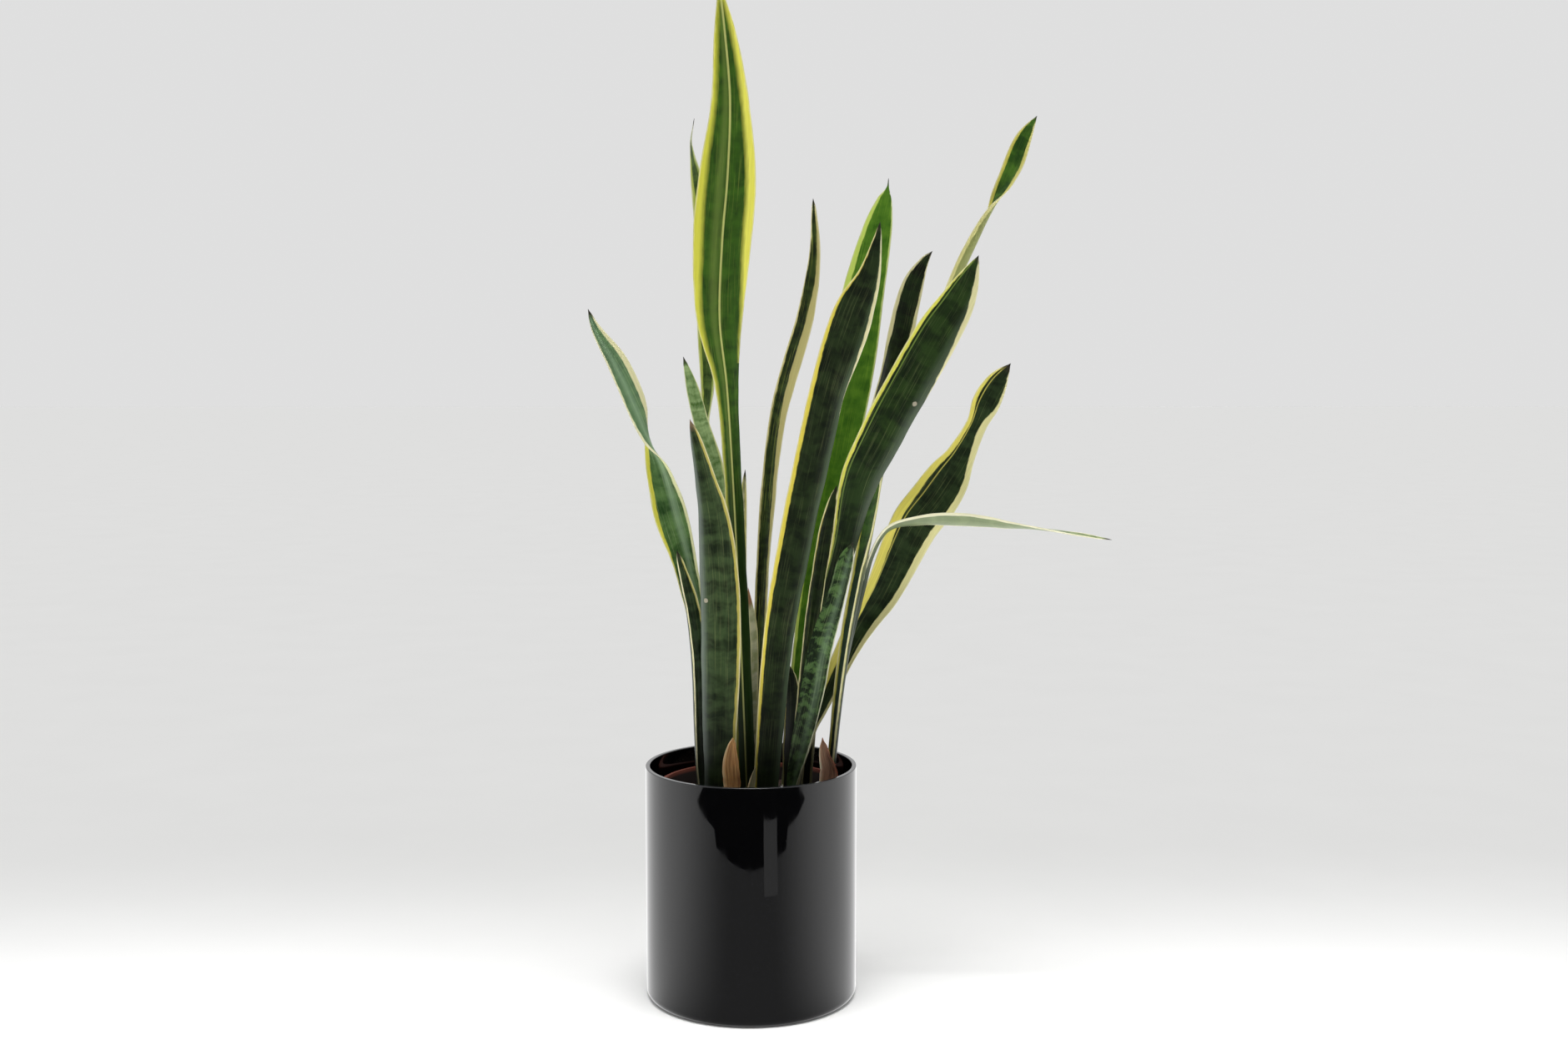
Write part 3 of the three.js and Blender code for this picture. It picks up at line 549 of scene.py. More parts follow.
# A leaf is a list of stations from its buried base to its tip, in millimetres and degrees:
# x, y, z, width laid flat, turn about the midrib, curl of the left and of the right half,
# and the width of the left and of the right yellow margin.
LEAVES = {
    "leaf_tall": [
        [-4, -36, 195, 24, 0, 60, 60, 2, 0],
        [-5, -37, 250, 25, 0, 60, 60, 2, 0],
        [-13, -44, 460, 25, 0, 65, 65, 2, 0],
        [-21, -53, 625, 24, 0, 62, 62, 2, 0],
        [-26, -59, 700, 30, 0, 50, 50, 3, 0],
        [-33, -66, 768, 52, 0, 32, 32, 6, 2],
        [-30, -75, 849, 64, 0, 22, 22, 10, 9],
        [-24, -82, 918, 62, 0, 20, 20, 8, 10],
        [-21, -89, 996, 41, 0, 18, 18, 5, 8],
        [-26, -95, 1064, 24, 0, 12, 12, 4, 5],
        [-32, -100, 1116, 2, 0, 5, 5, 1, 1],
    ],
    "leaf_slim_left": [
        [-16, 12, 195, 20, 0, 55, 55, 3, 3],
        [-18, 12, 240, 20, 0, 55, 55, 3, 3],
        [-36, 16, 470, 16, 20, 60, 60, 3, 3],
        [-50, 27, 645, 14, 40, 55, 55, 3, 3],
        [-48, 32, 690, 17, 20, 40, 40, 3, 3],
        [-49, 39, 755, 23, 0, 25, 25, 4, 4],
        [-49, 51, 847, 27, 0, 20, 20, 5, 5],
        [-57, 60, 909, 19, 0, 15, 15, 4, 4],
        [-67, 69, 969, 8, 70, 5, 5, 2, 2],
        [-64, 74, 1000, 1.5, 90, 0, 0, 0, 0],
    ],
    "leaf_marbled_left": [
        [-27, -16, 195, 24, 0, 45, 45, 2, 2],
        [-28, -16, 245, 24, 0, 45, 45, 2, 2],
        [-34, -20, 475, 27, 0, 35, 35, 2, 2],
        [-37, -23, 570, 26, 0, 28, 28, 2, 2],
        [-42, -25, 610, 23, 0, 25, 25, 1, 2],
        [-53, -26, 650, 18, 0, 20, 20, 1, 1],
        [-64, -26, 693, 14, 0, 15, 15, 1, 1],
        [-74, -26, 728, 1.5, 0, 0, 0, 0, 0],
    ],
    "leaf_front_left": [
        [-35, -56, 195, 34, 0, -20, 40, 0, 3],
        [-35, -57, 250, 34, 0, -30, 35, 0, 3],
        [-35, -60, 314, 40, 0, -40, 30, 0, 4],
        [-34, -63, 390, 46, 0, -45, 25, 0, 4],
        [-34, -65, 458, 47, 0, -45, 25, 0, 4],
        [-37, -69, 521, 43, 0, -45, 30, 0, 4],
        [-42, -74, 566, 34, 0, -40, 40, 0, 4],
        [-49, -79, 602, 24, 0, -30, 60, 0, 4],
        [-57, -84, 636, 15, 0, -20, 70, 0, 4],
        [-65, -88, 661, 1.5, 0, 0, 20, 0, 0],
    ],
    "leaf_twisted_left": [
        [-44, -4, 195, 20, 0, 60, 60, 0, 2],
        [-46, -5, 240, 20, 0, 60, 60, 0, 2],
        [-58, -12, 415, 22, 0, 55, 55, 0, 2],
        [-74, -20, 498, 30, -10, 40, 40, 2, 3],
        [-88, -23, 550, 38, 0, 25, 25, 5, 3],
        [-101, -26, 605, 32, 30, 35, 35, 5, 5],
        [-112, -28, 636, 26, 90, 55, 55, 8, 3],
        [-122, -30, 670, 28, 145, 40, 40, 9, 2],
        [-146, -30, 722, 24, 165, 20, 20, 7, 2],
        [-169, -30, 758, 11, 170, 10, 10, 3, 1],
        [-178, -30, 780, 1.5, 170, 0, 0, 0, 0],
    ],
    "leaf_channelled_left": [
        [-54, -37, 195, 22, -50, 70, 70, 2, 2],
        [-57, -38, 249, 22, -50, 70, 70, 2, 2],
        [-60, -38, 320, 26, -50, 75, 75, 2, 2],
        [-62, -38, 383, 28, -50, 80, 80, 2, 2],
        [-68, -38, 446, 27, -50, 75, 75, 2, 2],
        [-79, -38, 500, 12, -45, 60, 60, 2, 2],
        [-82, -38, 515, 1.5, -45, 30, 30, 0, 0],
    ],
    "leaf_sliver": [
        [-8, -4, 195, 9, 0, 20, 20, 2, 2],
        [-8, -4, 240, 9, 0, 20, 20, 2, 2],
        [-9, -4, 470, 9, 0, 20, 20, 2, 2],
        [-8, -4, 573, 7, 0, 15, 15, 2, 2],
        [-6, -4, 602, 1.5, 0, 0, 0, 0, 0],
    ],
    "leaf_folded_middle": [
        [8, 4, 195, 14, 30, 60, 60, 2, 3],
        [8, 4, 240, 14, 30, 60, 60, 2, 3],
        [11, 3, 377, 17, 30, 65, 60, 2, 3],
        [15, 1, 483, 20, 30, 65, 60, 2, 4],
        [24, 1, 589, 24, 35, 60, 55, 2, 8],
        [35, 4, 666, 27, 38, 50, 50, 2, 13],
        [50, 8, 723, 28, 35, 35, 45, 2, 15],
        [62, 12, 766, 25, 30, 25, 45, 2, 12],
        [70, 17, 813, 18, 15, 20, 35, 1, 6],
        [73, 22, 852, 12, 0, 15, 15, 1, 4],
        [72, 28, 890, 6, 0, 10, 10, 1, 2],
        [71, 31, 906, 1.5, 0, 0, 0, 0, 0],
    ],
    "leaf_brown_tipped": [
        [1, -15, 195, 9, 0, 40, 40, 1, 1],
        [1, -15, 243, 9, 0, 40, 40, 1, 1],
        [4, -15, 360, 9, 0, 40, 40, 1, 1],
        [3, -15, 423, 9, 0, 35, 35, 1, 1],
        [-3, -15, 470, 1.5, 0, 0, 0, 0, 0],
    ],
    "leaf_front_broad": [
        [15, -48, 195, 29, 5, 50, 30, 3, 0],
        [16, -48, 250, 29, 5, 45, 10, 3, 0],
        [24, -49, 353, 33, 5, 40, -30, 4, 0],
        [32, -51, 426, 36, 5, 35, -45, 4, 0],
        [45, -55, 503, 39, 5, 30, -50, 5, 0],
        [72, -66, 637, 41, 5, 25, -50, 5, 0],
        [85, -74, 694, 42, 0, 20, -45, 5, 1],
        [98, -81, 738, 45, 0, 18, -10, 4, 3],
        [112, -88, 779, 43, 0, 15, 30, 3, 4],
        [126, -94, 813, 26, 0, 12, 20, 2, 3],
        [134, -101, 849, 10, 0, 10, 10, 1, 1],
        [137, -105, 869, 1.5, 0, 0, 0, 0, 0],
    ],
    "leaf_bright_back": [
        [44, 52, 195, 24, 0, 50, 50, 3, 2],
        [46, 52, 235, 24, 0, 50, 50, 3, 2],
        [67, 56, 419, 32, 0, 35, 35, 4, 2],
        [92, 66, 563, 42, 0, 25, 25, 5, 2],
        [108, 76, 654, 49, 0, 18, 18, 6, 2],
        [121, 86, 726, 51, 0, 15, 15, 7, 2],
        [131, 97, 797, 50, 0, 12, 12, 7, 2],
        [149, 110, 876, 35, 0, 10, 10, 5, 2],
        [158, 116, 912, 18, 0, 8, 8, 3, 1],
        [162, 119, 927, 3, 0, 5, 5, 0, 0],
        [163, 121, 938, 1.5, 0, 0, 0, 0, 0],
    ],
    "leaf_right_broad": [
        [49, 22, 195, 20, 0, 55, 55, 2, 1],
        [50, 21, 240, 20, 0, 55, 55, 2, 1],
        [70, 16, 378, 24, 0, 50, 45, 2, 1],
        [90, 0, 465, 27, 0, 45, 20, 3, 1],
        [105, -12, 521, 31, 0, 35, -20, 3, 0],
        [121, -28, 590, 46, 0, 25, -40, 4, 0],
        [140, -38, 632, 51, 0, 20, -40, 4, 0],
        [165, -42, 681, 52, 0, 18, -30, 4, 0],
        [203, -56, 752, 49, 0, 15, 5, 4, 4],
        [221, -63, 782, 41, 0, 12, 12, 3, 6],
        [233, -69, 807, 28, 0, 10, 10, 2, 6],
        [245, -76, 836, 1.5, 0, 0, 0, 0, 0],
    ],
    "leaf_inner_channel": [
        [47, -31, 195, 12, 0, 45, 45, 1, 1],
        [48, -31, 246, 12, 0, 45, 45, 1, 1],
        [63, -33, 388, 18, 0, 60, 60, 1, 1],
        [72, -36, 463, 20, 0, 65, 65, 1, 1],
        [79, -38, 510, 22, 0, 70, 70, 2, 1],
        [84, -40, 540, 19, 0, 65, 65, 2, 1],
        [90, -41, 567, 11, 0, 50, 50, 1, 1],
        [95, -42, 587, 1.5, 0, 0, 0, 0, 0],
    ],
    "leaf_banded_right": [
        [43, -50, 195, 11, 0, 40, 40, 0, 1],
        [45, -50, 251, 13, 0, 40, 40, 0, 1],
        [55, -52, 300, 23, 0, 35, 35, 0, 1],
        [68, -55, 360, 27, 0, 30, 30, 0, 1],
        [77, -59, 410, 27, 0, 25, 25, 0, 1],
        [95, -67, 472, 20, 0, 20, 20, 0, 1],
        [104, -72, 508, 17, 0, 15, 15, 0, 1],
        [111, -75, 527, 1.5, 0, 0, 0, 0, 0],
    ],
    "leaf_short_dark": [
        [42, -15, 195, 17, -20, 45, 40, 1, 1],
        [42, -15, 244, 18, -20, 45, 40, 1, 1],
        [44, -15, 290, 22, -20, 40, 35, 2, 1],
        [46, -16, 335, 21, -20, 35, 30, 2, 1],
        [45, -16, 366, 14, -20, 25, 25, 2, 1],
        [42, -16, 385, 1.5, -20, 0, 0, 0, 0],
    ],
    "leaf_bent_over": [
        [82, 15, 195, 13, 70, 60, 60, 0, 0],
        [88, 12, 240, 14, 75, 60, 60, 0, 0],
        [105, -4, 368, 13, 85, 60, 60, 0, 0],
        [128, 1, 465, 18, 90, 50, 50, 0, 0],
        [139, 3, 506, 23, 95, 40, 40, 1, 2],
        [156, 4, 533, 26, 105, 25, 25, 4, 4],
        [189, 2, 542, 28, 118, 18, 18, 5, 4],
        [236, 0, 543, 30, 125, 15, 15, 4, 4],
        [283, -2, 539, 24, 118, 12, 12, 4, 3],
        [330, -4, 534, 18, 95, 10, 10, 3, 3],
        [378, -4, 527, 10, 70, 8, 8, 2, 2],
        [408, -4, 522, 1.5, 60, 0, 0, 0, 0],
    ],
    "leaf_right_golden": [
        [48, -2, 195, 14, 0, 60, 60, 4, 2],
        [49, -2, 240, 14, 5, 60, 60, 4, 2],
        [68, 4, 305, 20, 10, 65, 70, 6, 3],
        [86, 14, 341, 26, 10, 60, 80, 8, 4],
        [114, 24, 397, 34, 8, 50, 80, 10, 7],
        [131, 27, 427, 38, 5, 40, 65, 11, 8],
        [152, 34, 460, 45, 0, 28, 40, 11, 8],
        [188, 45, 534, 56, 0, 18, 18, 11, 8],
        [212, 51, 565, 57, 0, 15, 15, 9, 8],
        [229, 55, 590, 51, 0, 15, 15, 8, 7],
        [244, 60, 615, 34, 0, 15, 15, 6, 7],
        [262, 67, 649, 25, 0, 15, 15, 5, 8],
        [274, 73, 675, 33, 0, 12, 12, 5, 4],
        [288, 78, 700, 25, 0, 10, 10, 3, 2],
        [304, 83, 721, 1.5, 0, 0, 0, 0, 0],
    ],
    "leaf_far_right": [
        [84, -8, 195, 15, 60, 70, 95, 3, 2],
        [91, -9, 246, 16, 60, 75, 95, 3, 2],
        [102, -18, 353, 20, 60, 80, 95, 3, 2],
        [113, -20, 427, 24, 60, 80, 95, 3, 2],
        [123, -18, 476, 26, 60, 75, 95, 3, 2],
        [135, -3, 536, 27, 55, 65, 65, 3, 3],
        [148, 13, 598, 26, 65, 50, 50, 3, 3],
        [166, 29, 660, 25, 80, 35, 35, 4, 4],
        [211, 46, 754, 24, 110, 38, 38, 4, 4],
        [245, 62, 833, 20, 140, 60, 60, 4, 4],
        [265, 69, 872, 18, 130, 72, 72, 4, 4],
        [280, 74, 899, 18, 88, 72, 72, 4, 4],
        [291, 78, 921, 21, 25, 55, 55, 4, 4],
        [305, 84, 952, 24, 0, 15, 15, 4, 4],
        [317, 89, 981, 19, 0, 12, 12, 3, 3],
        [333, 94, 1007, 1.5, 0, 0, 0, 0, 0],
    ],
    "leaf_dark_back": [
        [62, 37, 195, 16, -20, 50, 50, 3, 3],
        [63, 37, 235, 16, -20, 50, 50, 3, 3],
        [78, 35, 421, 22, -30, 60, 50, 3, 3],
        [109, 40, 564, 29, -35, 65, 40, 3, 3],
        [142, 50, 662, 33, -35, 70, 35, 4, 4],
        [163, 60, 726, 34, -25, 50, 30, 5, 4],
        [174, 66, 759, 31, -5, 25, 25, 5, 4],
        [181, 72, 787, 29, 0, 18, 18, 4, 3],
        [190, 79, 816, 24, 0, 15, 15, 3, 2],
        [202, 84, 839, 11, 0, 10, 10, 2, 1],
        [212, 87, 851, 1.5, 0, 0, 0, 0, 0],
    ],
}


def reaches_along(stations):
    """The distance along the midrib at each station."""
    reaches = [0]
    for before, after in zip(stations, stations[1:]):
        reaches.append(reaches[-1] + math.dist(before[:3], after[:3]))
    return reaches


def station_between(stations, reaches, i, t):
    """Every value at share t of the stretch after station i, on a smooth curve through the stations."""
    stretch = reaches[i + 1] - reaches[i]
    blend = t * t * (3 - 2 * t)
    start_pull = t * (1 - t) * (1 - t) * stretch
    end_pull = t * t * (t - 1) * stretch

    def slope(at, value):
        before = max(at - 1, 0)
        after = min(at + 1, len(stations) - 1)
        return (stations[after][value] - stations[before][value]) / (reaches[after] - reaches[before])

    return [
        start * (1 - blend) + stations[i + 1][value] * blend
        + start_pull * slope(i, value) + end_pull * slope(i + 1, value)
        for value, start in enumerate(stations[i])
    ]


def midrib(name, stations, thick_base, thick_tip):
    """The line that a blade is swept along, with the values of each of its points as attributes."""
    reaches = reaches_along(stations)
    total = reaches[-1]
    rows = []
    for i in range(len(stations) - 1):
        for step in range(BLADE_ROWS_PER_STRETCH):
            t = step / BLADE_ROWS_PER_STRETCH
            reach = reaches[i] + (reaches[i + 1] - reaches[i]) * t
            rows.append((station_between(stations, reaches, i, t), reach))
    for share in (0.5, 0.8, 0.95):
        reach = total - (1 - share)
        rows.append((station_between(stations, reaches, len(stations) - 2,
                                     1 - (total - reach) / (total - reaches[-2])), reach))
    rows.sort(key=lambda row: row[1])
    rows.append((stations[-1], total))
    mesh = bpy.data.meshes.new(name)
    mesh.from_pydata([Vector(at[:3]) * MM for at, _ in rows], [(i, i + 1) for i in range(len(rows) - 1)], [])
    columns = {key: [] for key in ("face", "side", "blade", "curls", "edges")}
    for index, (at, reach) in enumerate(rows):
        ahead = Vector(rows[min(index + 1, len(rows) - 1)][0][:3])
        behind = Vector(rows[max(index - 1, 0)][0][:3])
        along = (ahead - behind).normalized()
        towards = Vector((0, -1, 0))
        face = (towards - along * towards.dot(along)).normalized()
        face = Matrix.Rotation(-math.radians(at[4]), 3, along) @ face
        share = reach / total
        width = max(at[3], 1.5)
        taper = min(1, width / BLADE_THIN_BELOW_WIDTH)
        middle = max((thick_base + (thick_tip - thick_base) * share) * taper, BLADE_MIN_THICK)
        point = min(1, math.sqrt(max(total - reach, 0) / BLADE_TIP_ROUND) + 0.08)
        curls = []
        for curl in (at[5], at[6]):
            curl = math.radians(curl)
            curls.append(curl if abs(curl) > LEAST_CURL else LEAST_CURL)
        columns["face"].append(face)
        columns["side"].append(along.cross(face))
        columns["blade"].append(Vector((width / 2 * point * MM, middle * min(1, point * 1.3) * MM, reach)))
        columns["curls"].append(Vector((curls[0], curls[1], share)))
        columns["edges"].append(Vector((max(at[7], 0), max(at[8], 0), 0)))
    for key, values in columns.items():
        column = mesh.attributes.new(key, "FLOAT_VECTOR", "POINT")
        column.data.foreach_set("vector", [number for value in values for number in value])
    return mesh


# The blade: a ring swept along the midrib, then laid out so that each half of the leaf is an arc
# that curls towards its face, thickest at the midrib and thin at the rounded margins.
blade_tree, group_in, group_out = new_tree(
    "leaf blade", "GeometryNodeTree",
    {
        "Geometry": ("NodeSocketGeometry", None),
        "Sides": ("NodeSocketInt", BLADE_SIDES),
        "Ripple": ("NodeSocketFloat", BLADE_RIPPLE),
        "Ripple Length": ("NodeSocketFloat", 35 * MM),
        "Seed": ("NodeSocketFloat", 0.0),
        "Material": ("NodeSocketMaterial", None),
    },
    {"Geometry": "NodeSocketGeometry"},
)
give = group_in.outputs
spine = add_node(blade_tree, "GeometryNodeMeshToCurve", {"Mesh": give["Geometry"]})
spine = add_node(blade_tree, "GeometryNodeStoreNamedAttribute", {
    "Geometry": spine, "Name": "spine", "Value": add_node(blade_tree, "GeometryNodeInputPosition"),
}, data_type="FLOAT_VECTOR")
ring = add_node(blade_tree, "GeometryNodeCurvePrimitiveCircle",
                {"Resolution": give["Sides"], "Radius": 1 * MM})
step = add_node(blade_tree, "ShaderNodeMath", {0: 2 * math.pi, 1: give["Sides"]}, operation="DIVIDE")
angle = add_node(blade_tree, "ShaderNodeMath", {0: add_node(blade_tree, "GeometryNodeInputIndex"), 1: step},
                 operation="MULTIPLY")
across = add_node(blade_tree, "ShaderNodeMath", {0: angle}, operation="COSINE")
front = add_node(blade_tree, "ShaderNodeMath", {0: angle}, operation="SINE")
ring = add_node(blade_tree, "GeometryNodeStoreNamedAttribute", {
    "Geometry": ring, "Name": "round",
    "Value": add_node(blade_tree, "ShaderNodeCombineXYZ", {"X": across, "Y": front}),
}, data_type="FLOAT_VECTOR")
swept = add_node(blade_tree, "GeometryNodeCurveToMesh", {"Curve": spine, "Profile Curve": ring,
                                                         "Fill Caps": True})

kept = {
    key: add_node(blade_tree, "GeometryNodeInputNamedAttribute", {"Name": key}, data_type="FLOAT_VECTOR")
    for key in ("spine", "face", "side", "blade", "curls", "edges", "round")
}
sizes = add_node(blade_tree, "ShaderNodeSeparateXYZ", {"Vector": kept["blade"]}).outputs
curls = add_node(blade_tree, "ShaderNodeSeparateXYZ", {"Vector": kept["curls"]}).outputs
edges = add_node(blade_tree, "ShaderNodeSeparateXYZ", {"Vector": kept["edges"]}).outputs
turn = add_node(blade_tree, "ShaderNodeSeparateXYZ", {"Vector": kept["round"]}).outputs
is_right = add_node(blade_tree, "ShaderNodeMath", {0: turn["X"], 1: 0.0}, operation="GREATER_THAN")
which = add_node(blade_tree, "ShaderNodeMath", {0: turn["X"]}, operation="SIGN")
distance = add_node(blade_tree, "ShaderNodeMath", {0: turn["X"]}, operation="ABSOLUTE")
curl = add_node(blade_tree, "ShaderNodeMix", {"Factor": is_right, "A": curls["X"], "B": curls["Y"]})
bend = add_node(blade_tree, "ShaderNodeMath", {0: curl, 1: distance}, operation="MULTIPLY")
sine = add_node(blade_tree, "ShaderNodeMath", {0: bend}, operation="SINE")
cosine = add_node(blade_tree, "ShaderNodeMath", {0: bend}, operation="COSINE")
radius = add_node(blade_tree, "ShaderNodeMath", {0: sizes["X"], 1: curl}, operation="DIVIDE")
outward = add_node(blade_tree, "ShaderNodeMath", {0: sine, 1: which}, operation="MULTIPLY")
out = add_node(blade_tree, "ShaderNodeMath", {0: outward, 1: radius}, operation="MULTIPLY")
lift = add_node(blade_tree, "ShaderNodeMath", {0: 1.0, 1: cosine}, operation="SUBTRACT")
rise = add_node(blade_tree, "ShaderNodeMath", {0: lift, 1: radius}, operation="MULTIPLY")
# Thickness: 1 at the midrib, a third of it near the margin, rounded off at the margin itself.
square = add_node(blade_tree, "ShaderNodeMath", {0: distance, 1: distance}, operation="MULTIPLY")
thin = add_node(blade_tree, "ShaderNodeMath", {0: square, 1: -0.66, 2: 1.0}, operation="MULTIPLY_ADD")
deep = add_node(blade_tree, "ShaderNodeMath", {0: turn["Y"]}, operation="ABSOLUTE")
rounded = add_node(blade_tree, "ShaderNodeMath", {0: deep, 1: 0.4}, operation="POWER")
to_front = add_node(blade_tree, "ShaderNodeMath", {0: turn["Y"]}, operation="SIGN")
thick = add_node(blade_tree, "ShaderNodeMath", {0: thin, 1: rounded}, operation="MULTIPLY")
thick = add_node(blade_tree, "ShaderNodeMath", {0: thick, 1: to_front}, operation="MULTIPLY")
half_thick = add_node(blade_tree, "ShaderNodeMath", {0: sizes["Y"], 1: 0.5}, operation="MULTIPLY")
thick = add_node(blade_tree, "ShaderNodeMath", {0: thick, 1: half_thick}, operation="MULTIPLY")
# The margins wave gently out of the blade's own surface.
wave_at = add_node(blade_tree, "ShaderNodeCombineXYZ", {"X": sizes["Z"], "Y": which, "Z": give["Seed"]})
wave_size = add_node(blade_tree, "ShaderNodeMath", {0: 1 * MM, 1: give["Ripple Length"]}, operation="DIVIDE")
wave = add_node(blade_tree, "ShaderNodeTexNoise", {"Vector": wave_at, "Scale": wave_size, "Detail": 1.0})
wave = add_node(blade_tree, "ShaderNodeMapRange", {"Value": wave, "From Min": 0.25, "From Max": 0.75,
                                                   "To Min": -1.0, "To Max": 1.0})
wave = add_node(blade_tree, "ShaderNodeMath", {0: wave, 1: square}, operation="MULTIPLY")
wave = add_node(blade_tree, "ShaderNodeMath", {0: wave, 1: give["Ripple"]}, operation="MULTIPLY")
through = add_node(blade_tree, "ShaderNodeMath", {0: thick, 1: wave}, operation="ADD")
leaning = add_node(blade_tree, "ShaderNodeMath", {0: through, 1: outward}, operation="MULTIPLY")
facing = add_node(blade_tree, "ShaderNodeMath", {0: through, 1: cosine}, operation="MULTIPLY")
sideways = add_node(blade_tree, "ShaderNodeMath", {0: out, 1: leaning}, operation="SUBTRACT")
forwards = add_node(blade_tree, "ShaderNodeMath", {0: rise, 1: facing}, operation="ADD")
to_side = add_node(blade_tree, "ShaderNodeVectorMath", {0: kept["side"], "Scale": sideways},
                   operation="SCALE")
to_face = add_node(blade_tree, "ShaderNodeVectorMath", {0: kept["face"], "Scale": forwards},
                   operation="SCALE")
offset = add_node(blade_tree, "ShaderNodeVectorMath", {0: to_side, 1: to_face}, operation="ADD")
place_at = add_node(blade_tree, "ShaderNodeVectorMath", {0: kept["spine"], 1: offset}, operation="ADD")
laid_out = add_node(blade_tree, "GeometryNodeSetPosition", {"Geometry": swept, "Position": place_at})
half_mm = add_node(blade_tree, "ShaderNodeMath", {0: sizes["X"], 1: 1000.0}, operation="MULTIPLY")
laid_out = add_node(blade_tree, "GeometryNodeStoreNamedAttribute", {
    "Geometry": laid_out, "Name": "skin",
    "Value": add_node(blade_tree, "ShaderNodeCombineXYZ", {"X": turn["X"], "Y": sizes["Z"], "Z": turn["Y"]}),
}, data_type="FLOAT_VECTOR")
laid_out = add_node(blade_tree, "GeometryNodeStoreNamedAttribute", {
    "Geometry": laid_out, "Name": "margins",
    "Value": add_node(blade_tree, "ShaderNodeCombineXYZ", {"X": edges["X"], "Y": edges["Y"], "Z": half_mm}),
}, data_type="FLOAT_VECTOR")
smooth = add_node(blade_tree, "GeometryNodeSetShadeSmooth", {"Geometry": laid_out})
solid_blade = add_node(blade_tree, "GeometryNodeRealizeInstances", {"Geometry": smooth})
finished = add_node(blade_tree, "GeometryNodeSetMaterial",
                    {"Geometry": solid_blade, "Material": give["Material"]})
blade_tree.links.new(finished.outputs["Geometry"], group_out.inputs["Geometry"])

# The skin pattern of a snake plant leaf, from its place across and along the blade in millimetres:
# wavy toothed cross bands, fine lengthwise veins, yellow margins with a pale edge line that is partly
# painted highlight, a paler back, a painted reflection band, painted shade on the lower blade, and a
# dark foot that is partly painted shade.
skin, group_in, group_out = new_tree(
    "snake plant skin", "ShaderNodeTree",
    {
        "Dark": ("NodeSocketColor", linear("#1b2b12")),
        "Light": ("NodeSocketColor", linear("#3f5030")),
        "Left Margin": ("NodeSocketColor", linear("#c9bd4c")),
        "Right Margin": ("NodeSocketColor", linear("#cfc663")),
        "Back": ("NodeSocketColor", linear("#6f7b63")),
        "Back Share": ("NodeSocketFloat", 0.45),
        "Band Length": ("NodeSocketFloat", 14.0),
        "Band Share": ("NodeSocketFloat", 0.8),
        "Band Middle": ("NodeSocketFloat", 0.5),
        "Band Softness": ("NodeSocketFloat", 0.09),
        "Teeth": ("NodeSocketFloat", 4.0),
        "Streak Share": ("NodeSocketFloat", 0.12),
        "Streaks": ("NodeSocketColor", linear("#b6bd7a")),
        "Stripe": ("NodeSocketColor", linear("#8c9660")),
        "Stripe Share": ("NodeSocketFloat", 0.0),
        "Stripe Place": ("NodeSocketFloat", 0.0),
        "Stripe Width": ("NodeSocketFloat", 0.6),
        "Sheen": ("NodeSocketColor", linear("#6a7668")),
        "Sheen Share": ("NodeSocketFloat", 0.0),
        "Sheen Place": ("NodeSocketFloat", 0.7),
        "Sheen Width": ("NodeSocketFloat", 0.25),
        "Brown": ("NodeSocketColor", linear("#2a261b")),
        "Brown From": ("NodeSocketFloat", 5000.0),
        "Band Width": ("NodeSocketFloat", 38.0),
        "Margin Softness": ("NodeSocketFloat", 0.45),
        "Lower": ("NodeSocketColor", linear("#26382e")),
        "Lower Until": ("NodeSocketFloat", -100.0),
        "Back Margin": ("NodeSocketColor", linear("#dedab2")),
        "Back Margin Share": ("NodeSocketFloat", 0.35),
        "Scar Across": ("NodeSocketFloat", 0.0),
        "Scar Reach": ("NodeSocketFloat", -100.0),
        "Seed": ("NodeSocketFloat", 0.0),
    },
    {"Color": "NodeSocketColor", "Roughness": "NodeSocketFloat", "Height": "NodeSocketFloat"},
)
give = group_in.outputs
on_blade = add_node(skin, "ShaderNodeAttribute", attribute_name="skin").outputs["Vector"]
on_blade = add_node(skin, "ShaderNodeSeparateXYZ", {"Vector": on_blade}).outputs
widths = add_node(skin, "ShaderNodeAttribute", attribute_name="margins").outputs["Vector"]
widths = add_node(skin, "ShaderNodeSeparateXYZ", {"Vector": widths}).outputs
across = add_node(skin, "ShaderNodeMath", {0: on_blade["X"], 1: widths["Z"]}, operation="MULTIPLY")
reach = on_blade["Y"]
across_at = add_node(skin, "ShaderNodeCombineXYZ", {"X": across, "Y": reach, "Z": give["Seed"]})
# Veins: 1.1 mm apart and far longer than they are wide.
vein_at = add_node(skin, "ShaderNodeVectorMath", {0: across_at, 1: (1 / 1.1, 1 / 70, 3.0)},
                   operation="MULTIPLY")
veins = add_node(skin, "ShaderNodeTexNoise", {"Vector": vein_at, "Scale": 1.0, "Detail": 3.0,
                                              "Roughness": 0.6})
tooth_at = add_node(skin, "ShaderNodeVectorMath", {0: across_at, 1: (1 / 1.5, 1 / 8, 5.0)},
                    operation="MULTIPLY")
teeth = add_node(skin, "ShaderNodeTexNoise", {"Vector": tooth_at, "Scale": 1.0, "Detail": 3.0})
swing_at = add_node(skin, "ShaderNodeVectorMath", {0: across_at, 1: (1 / 16, 1 / 40, 7.0)},
                    operation="MULTIPLY")
swing = add_node(skin, "ShaderNodeTexNoise", {"Vector": swing_at, "Scale": 1.0, "Detail": 2.0})
shift = add_node(skin, "ShaderNodeMath", {0: teeth, 1: 0.5}, operation="SUBTRACT")
shift = add_node(skin, "ShaderNodeMath", {0: shift, 1: give["Teeth"]}, operation="MULTIPLY")
swing = add_node(skin, "ShaderNodeMath", {0: swing, 1: 16.0, 2: shift}, operation="MULTIPLY_ADD")
